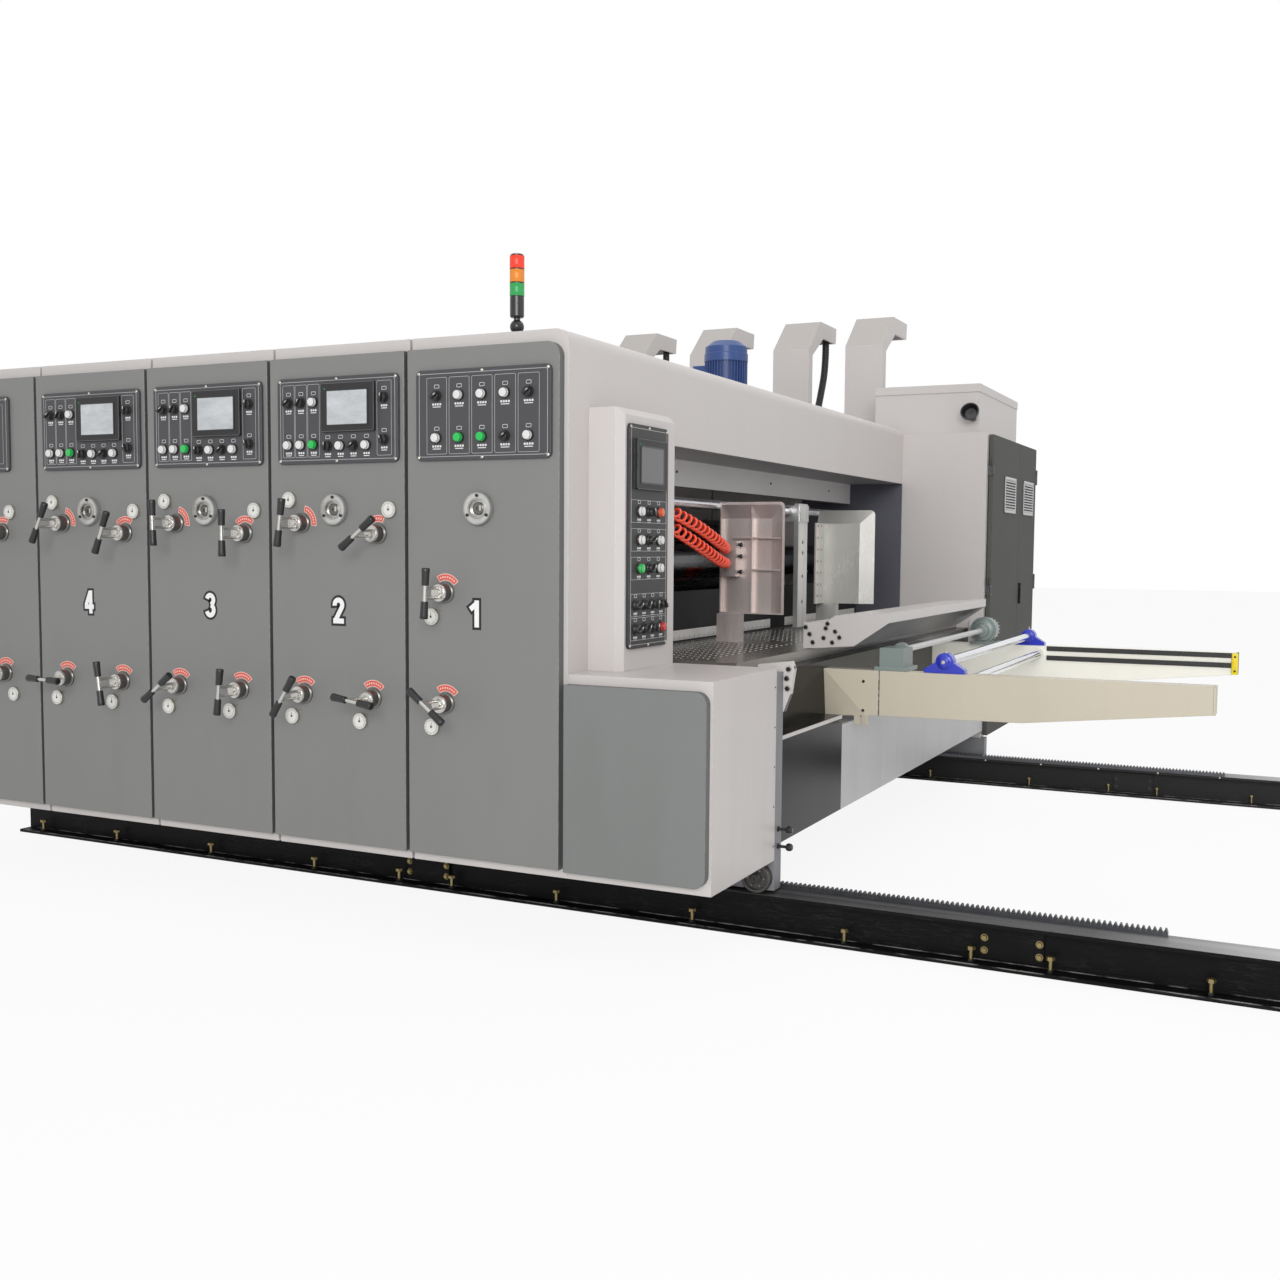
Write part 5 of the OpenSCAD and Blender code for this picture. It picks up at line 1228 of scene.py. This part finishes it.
def table_rollers():
    """Rows of narrow rollers sunk in the table, each standing a little proud, ringed by a dark line that
    paints the shade of the gap round it.
    """
    rim = ROLLER_R - 1.5
    profile = [(0, 0), (rim, 0), (ROLLER_R, 2), (ROLLER_R, ROLLER_W - 2), (rim, ROLLER_W), (0, ROLLER_W)]
    turned_points, turned_faces = turned(profile, sides=14)
    roller = (turned_points[:, [0, 2, 1]] * [1, 1, -1], turned_faces)
    xs = np.arange(-210.0, 200.0, 30.0)
    x, y = np.meshgrid(xs, np.arange(690.0, 3700.0, 56.0))
    y = y + 28.0 * (np.arange(len(xs)) % 2)[None, :]
    free = np.ones(x.shape, bool)
    for low, high, reach in ROLLERS_BLOCKED:
        free &= ~((y > low) & (y < high) & (x < reach))
    x = x[free]
    y = y[free]
    places = np.stack([x, y - ROLLER_W / 2, np.full(len(x), TABLE_TOP + ROLLER_PROUD - ROLLER_R)], -1)
    slot_places = np.stack([x, y, np.full(len(x), TABLE_TOP)], -1)
    # Painted shade: a dark ring for the shaded gap round each roller
    slot_shade_ring = border(2 * ROLLER_R, ROLLER_W + 5, 2, (0, 0, 0), 1.2, 0.3)
    layers = [(roller_steel, [many(roller, places)]), (dark_steel, [many(slot_shade_ring, slot_places)])]
    piece("table_rollers", "feeder", layers)


def ruler_strips():
    """White rulers along the foot of the upstand: a tick each centimetre and a longer one each five."""
    face = feed_side((-236.0, 0.0, TABLE_TOP))
    strips, ticks = [], []
    for start, stop in RULERS:
        strips.append(face.on(plate(stop - start, 40, 1.5, ((start + stop) / 2, 30, 0), 2.0, 0.3)))
        short = [(u, 16, 2.0) for u in np.arange(start + 10, stop, 10.0)]
        tall = [(u, 19, 2.0) for u in np.arange(start + 50, stop, 50.0)]
        ticks.append(face.on(many(plate(1.2, 9, 0.4, (0, 0, 0), 0.3), short)))
        ticks.append(face.on(many(plate(1.8, 16, 0.4, (0, 0, 0), 0.4), tall)))
    piece("ruler_strips", "feeder", [(ruler_white, strips), (number_edge, ticks)])


CHEEK_BOLTS = [(315, 968), (331, 942), (344, 911), (395, 966), (387, 929), (402, 984), (432, 955), (449, 933),
               (421, 913)]
CORNER_BOLTS = [(513, 874), (507, 843), (510, 810)]
ARM_SCREWS = [(551, 774), (551, 665)]


def feeder_bolts():
    """Black bolts on the beam's end cheeks, the corner cheeks, the arms, the wall plate and the cabinet."""
    black, bright = [], []
    cheeks = ((1348.5, -1, CHEEK_BOLTS), (3038.5, 1, CHEEK_BOLTS), (615.0, -1, CORNER_BOLTS))
    for y, out, spots in cheeks:
        face = cross_side((0.0, y, 0.0), out)
        here = [(-out * u, v, 0) for u, v in spots]
        black.append(face.on(many(socket_screw(7.5, 7.0, (0, 0, 1.5)), here)))
        bright.append(face.on(many(disc(10.5, 1.5), here)))
    corner_face = feed_side((530.0, 0.0, 0.0))
    black.append(corner_face.on(many(socket_screw(6.0, 5.0), [(628, 878, -4), (3759, 878, -4)])))
    for y, out in zip(ARM_YS, (-1, 1)):
        face = cross_side((0.0, y + out * 35.0, 0.0), out)
        black.append(face.on(many(socket_screw(5.5, 4.0), [(-out * u, v, 0.0) for u, v in ARM_SCREWS])))
    cabinet = feed_side((495.0, 0.0, 0.0))
    black.append(cabinet.on(many(pan_screw(3.2, 1.8), [(541, z, 0) for z in (820, 690, 560, 430, 300)])))
    band = feed_side((-280.0, 0.0, 0.0))
    black.append(band.on(many(socket_screw(5.0, 4.0), [(y, 1572, 0) for y in (1450, 2520, 3390)])))
    piece("feeder_bolts", "feeder", [(bolt_black, black), (zinc, bright)])


KNOB = [(0, 0), (0, 9), (0.12, 9), (0.16, 5), (0.55, 5), (0.62, 11), (0.72, 13), (0.9, 12.5), (1, 8), (1, 0)]


def wall_knobs():
    """Two knobs on stems at the wall plate's end: stem, waist and a rounded head."""
    shells = [spun((495, 584, z), (546, 584, z), KNOB, 20) for z in (350.0, 293.0)]
    piece("wall_knobs", "feeder", [(black_plastic, shells)])


NIPPLE = [(0, 0), (4, 0), (4, 4), (2.4, 5), (2.4, 9), (3.2, 10), (2, 12), (0, 12)]
END_RING = [(17.2, 0), (28, 0), (28, 3), (25, 5), (20, 6), (19, 13.4), (17.2, 13.4)]
SHAFT_END = [(0, 0), (18, 0), (18, 1.2), (15, 2.4), (8, 2.4), (7, 1.2), (0, 1.2)]
END_SCREW = [(0, 1.2), (6.5, 1.2), (6.5, 2.4), (0, 2.8)]


def bearing_bolts():
    """Bolts on the feet of the pillow blocks, a grease nipple on each, and end rings round the shaft."""
    bolts, rings = [], []
    for y in ARM_YS:
        for side in (-1.0, 1.0):
            x = SHAFT_X + side * 58.0
            bolts.append(disc(12, 2, (x, y, ARM_TOP + 13.5)))
            bolts.append(hex_bolt(9.0, 8.0, (x, y, ARM_TOP + 15.5)))
        bolts.append(turned(NIPPLE, (SHAFT_X, y, ARM_TOP + 74.0), 12))
        for out in (-1.0, 1.0):
            face = cross_side((0, 0, 0), out)
            at = np.array([-out * SHAFT_X, ARM_TOP + 42.0, out * y + 21.0])
            end = at + [0.0, 0.0, 14.0]
            rings.append(face.on(turned(END_RING, at, 32, ring=True)))
            rings.append(face.on(turned(SHAFT_END, end, 28)))
            bolts.append(face.on(turned(END_SCREW, end, 20)))
    piece("bearing_bolts", "feeder", [(zinc, bolts), (bearing_blue, rings)])


HUB_CAP = [(0, 0), (16, 0), (16, 3), (13, 6), (6, 6), (5, 4), (0, 4)]
WHEEL_XS = (-473.0, 440.0)
WHEEL_YS = (525.0, 3862.0)
WHEEL_Z = 192.3


def wheel_hubs():
    """Hub caps and bolts on the track wheels' outer faces."""
    caps, bolts = [], []
    angle = np.radians(np.arange(0, 360, 60))
    ring = np.stack([28.0 * np.cos(angle), 28.0 * np.sin(angle), np.full(6, -8.8)], -1)
    for x in WHEEL_XS:
        for out, y in zip((-1.0, 1.0), WHEEL_YS):
            face = cross_side((x, y, WHEEL_Z), out)
            caps.append(face.on(turned(HUB_CAP, sides=28)))
            bolts.append(face.on(many(hex_bolt(4.0, 4.0), ring)))
    piece("wheel_hubs_feeder", "feeder", [(dark_steel, caps), (collar_steel, bolts)])


LENS_H = 38.0
LENS_R = 22.7
LENS_RIBS = 9.0


def tower_lenses():
    """Ribbed lamp lenses round the signal tower: a wavy profile turned about the column."""
    height = np.linspace(0.0, LENS_H, 20)
    outer = np.stack([LENS_R + 0.45 * np.cos(height / LENS_H * 2.0 * np.pi * LENS_RIBS), height], -1)
    profile = np.concatenate([[[21.6, 0.0]], outer, [[21.6, LENS_H]]])
    layers = []
    for finish, foot in ((lens_green, 119.4), (lens_amber, 161.4), (lens_red, 203.4)):
        layers.append((finish, [turned(profile, (-209.0, 100.0, TOP + foot), 40, ring=True)]))
    piece("tower_lenses", "feeder", layers)


def arm_caps():
    """Yellow plates on the arms' inner sides at their tips, with two dark screws each."""
    caps, dots = [], []
    for y, inward in zip(ARM_YS, (1.0, -1.0)):
        face = cross_side((0.0, y + inward * 43.0, 768.0), inward)
        u = -inward * 1750.0
        caps.append(face.on(plate(26.0, 96.0, 2.0, (u, 0, 0), 1.6, 0.4)))
        dots.append(face.on(many(pan_screw(5.0, 2.0), [(u, 32, 1.6), (u, -32, 1.6)])))
    piece("arm_caps", "feeder", [(cap_yellow, caps), (bolt_black, dots)])


def strip_clips():
    """Small dark clips that hold the strips on the arms' inner sides."""
    clips = []
    for y, inward in zip(ARM_YS, (1.0, -1.0)):
        face = cross_side((0.0, y + inward * 41.0, 0.0), inward)
        spots = [(-inward * x, z, 0.0) for x in np.arange(1010.0, 1740.0, 170.0) for z in (805.0, 761.0)]
        clips.append(face.on(many(socket_screw(5.0, 2.5), spots)))
    piece("strip_clips", "feeder", [(dark_steel, clips)])


VENT_X = 504.0
VENT_W = 320.0
VENT_H = 200.0
VENT_N = 13
SLAT = [(0, 5.5), (6.5, -5.5), (0, -4.0)]
VENT_TOP = 1672.0


def vent_slats(name, body, middle):
    """Louvre blades over a door's vent: a wedge carried along each blade, and a thin frame with screws."""
    slats = []
    step = VENT_H / VENT_N
    half = VENT_W / 2.0 - 22.0
    for i in range(VENT_N):
        z = VENT_TOP - step * (i + 0.5)
        path = [(VENT_X - 1.0, middle + y, z) for y in (-half, -half, half, half)]
        slats.append(carried(SLAT, path, (1.0, 0.0, 0.0), (0.0, 0.0, 1.0), (0, 1, 1, 0)))
    face = feed_side((VENT_X, middle, VENT_TOP - VENT_H / 2.0))
    slats.append(face.on(border(VENT_W - 22.0, VENT_H - 18.0, 6.0, (0, 0, 0), 18.0, 2.0)))
    wide = VENT_W / 2.0 - 11.0
    high = VENT_H / 2.0 - 4.0
    spots = [(u, v, 2.0) for u in (-wide, wide) for v in (-high, high)]
    screws = [face.on(many(pan_screw(3.5, 2.0), spots))]
    piece(name, body, [(louvre_pale, slats), (zinc, screws)])


CONDUIT_WAY = [(455, -6), (455, -110), (452, -190), (430, -300), (375, -420), (305, -550), (235, -670),
               (200, -736), (200, -766)]
CONDUIT_POINTS = 180
CONDUIT_COLLAR = [(22, 0), (33, 0), (33, 6), (25, 12), (22, 12)]
ROOF = 1890.0
DUCT_FRONT = 3834.0 + 458.0
DUCT_CROWN = ROOF + 576.0 + 190.0


def conduits():
    """Ribbed black conduits from the ducts' outlets to the roof: rings of changing radius along the way."""
    radius = 21.4 + 0.9 * np.cos(np.arange(CONDUIT_POINTS) * np.pi / 2.0)
    radius[[0, -1]] = 0.0
    for k in (2, 3, 4):
        x = -(k - 0.5) * PITCH + 8.0 + 66.0
        way = smooth_way([(x, DUCT_FRONT + dy, DUCT_CROWN + dz) for dy, dz in CONDUIT_WAY], CONDUIT_POINTS)
        collar = turned(CONDUIT_COLLAR, (x, DUCT_FRONT + 200.0, ROOF), 24, ring=True)
        layers = [(conduit_black, [hose_skin(way, radius, 18), collar])]
        piece(f"conduit_{k}", SECTION_BODIES[k], layers, 60.0)


GLAND_NUT = [(0, 0), (0, 18.5), (0.8, 18.5), (1, 16.8), (1, 0)]
HOSE_NUT = [(0, 0), (0, 10), (0.7, 10), (0.75, 7), (1, 7), (1, 0)]
VALVE_KNOB = [(0, 0), (0, 6), (0.5, 6), (0.55, 9), (0.95, 9), (1, 7), (1, 0)]


def hose_fittings():
    """Nuts on the pillar's glands and at the valve block, and the small valves' knobs beside them."""
    hoses = (HOSE_TOP, HOSE_LOW)
    nuts = [spun((x, 538, z), (x, 560, z), GLAND_NUT, 6) for (x, _, z), *_ in hoses]
    nuts += [spun((x, 1541, z), (x, 1524, z), HOSE_NUT, 6) for *_, (x, _, z) in hoses]
    knobs = [spun((-56, 1568, z), (-38, 1568, z), VALVE_KNOB, 14) for z in (1170.0, 1233.0, 1280.0)]
    piece("hose_fittings", "feeder", [(brass, nuts), (black_plastic, knobs)])


table_rollers()
ruler_strips()
feeder_bolts()
wall_knobs()
bearing_bolts()
wheel_hubs()
tower_lenses()
arm_caps()
strip_clips()
vent_slats("left_vent_slats", "left_cabinet_leaf", 4268.0)
vent_slats("right_vent_slats", "right_cabinet_leaf", 4817.5)
conduits()
hose_fittings()

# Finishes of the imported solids

FINISHES = {
    "rails": rail_black, "racks": rack_steel, "roof_motor": motor_blue, "wheels": tyre,
    "wall_plates": wall_paint, "control_pillar": white_paint, "lower_cabinet": white_paint,
    "lower_door": low_door_paint, "feed_table": table_black, "table_beam": beam_paint,
    "cross_member": cover_black, "side_guides": stainless, "front_gate": aluminium,
    "front_cover": cover_black, "lower_cover": grey_cover, "lift_arms": beige_paint,
    "arm_strips": strip_rubber, "cross_shafts": chrome, "bearings": bearing_blue,
    "lift_drive": drive_green, "drive_housing": housing_paint, "top_box": white_paint,
    "horn": black_plastic, "signal_tower": black_plastic, "left_cabinet_door": cabinet_paint,
    "right_cabinet_door": cabinet_paint, "upper_hose": hose_orange, "lower_hose": hose_orange,
    "feeder_frame": hood_paint,
}
FINISHES_BY_END = {"_frame": white_paint, "_panel": door_paint, "_console": overlay,
                   "_adjusters": turned_steel, "_rolls": roll_dark, "_duct": duct_paint}


def dress_solids():
    """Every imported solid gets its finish: its own, or the one for its kind of name."""
    for name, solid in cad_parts.items():
        finish = FINISHES.get(name)
        if finish is None:
            finish = next(made for end, made in FINISHES_BY_END.items() if name.endswith(end))
        solid.material_slots[0].material = finish


dress_solids()

# Floor, light and background

FLOOR_HALF = 40.0
SKY_LEVEL = 0.54


def seen_directly(tree):
    """1 for rays from the camera, mirrors and glass."""
    path = node(tree, "LightPath").outputs
    seen = sums(tree, "MAXIMUM", path["Is Camera Ray"], path["Is Glossy Ray"])
    return sums(tree, "MAXIMUM", seen, path["Is Transmission Ray"])


def lay_floor():
    """Pale floor, almost white to the eye, that keeps the shadow."""
    side = np.array([[-1, -1], [1, -1], [1, 1], [-1, 1]], float) * FLOOR_HALF
    mesh = bpy.data.meshes.new("floor")
    mesh.from_pydata(np.concatenate([side, np.full((4, 1), -0.001)], axis=1).tolist(), [], [(0, 1, 2, 3)])
    floor = bpy.data.objects.new("floor", mesh)
    bpy.context.collection.objects.link(floor)
    made, tree, shader = blank("pale_floor")
    fill(tree, shader, {"Base Color": (0.9, 0.9, 0.9, 1.0), "Roughness": 0.9, "Specular IOR Level": 0.0})
    glow = node(tree, "Emission", {"Color": (1.0, 1.0, 1.0, 1.0), "Strength": 1.0})
    share = sums(tree, "MULTIPLY", seen_directly(tree), 0.9)
    both = node(tree, "MixShader", {0: share, 1: shader.outputs[0], 2: glow.outputs[0]})
    tree.links.new(both.outputs[0], tree.nodes["Material Output"].inputs["Surface"])
    mesh.materials.append(made)


def light_sky():
    """White to the eye and in mirrors, a softer even light on the object."""
    world = bpy.data.worlds.new("studio")
    world.use_nodes = True
    tree = world.node_tree
    tree.nodes.clear()
    soft = node(tree, "Background", {"Color": (1.0, 1.0, 1.0, 1.0), "Strength": SKY_LEVEL})
    white = node(tree, "Background", {"Color": (1.0, 1.0, 1.0, 1.0), "Strength": 1.0})
    both = node(tree, "MixShader", {0: seen_directly(tree), 1: soft.outputs[0], 2: white.outputs[0]})
    end = tree.nodes.new("ShaderNodeOutputWorld")
    tree.links.new(both.outputs[0], end.inputs["Surface"])
    bpy.context.scene.world = world


def soft_lamp(name, at, aim, width, height, power):
    """Large soft lamp at a place, turned to its aim."""
    lamp = bpy.data.lights.new(name, "AREA")
    lamp.shape = "RECTANGLE"
    lamp.size = width
    lamp.size_y = height
    lamp.energy = power
    holder = bpy.data.objects.new(name, lamp)
    holder.location = at
    holder.rotation_euler = (Vector(aim) - Vector(at)).to_track_quat("-Z", "Y").to_euler()
    bpy.context.collection.objects.link(holder)


lay_floor()
light_sky()
soft_lamp("overhead", (0.0, 0.0, 7.0), (0.0, 0.0, 0.0), 9.0, 7.0, 150.0)
soft_lamp("operator_side", (4.5, -13.0, 4.5), (-0.3, 0.0, 1.0), 6.0, 4.0, 800.0)
soft_lamp("feed_side", (8.0, -1.0, 4.0), (0.5, 0.0, 1.0), 4.0, 4.0, 26.0)
bpy.context.scene.view_settings.view_transform = "Standard"
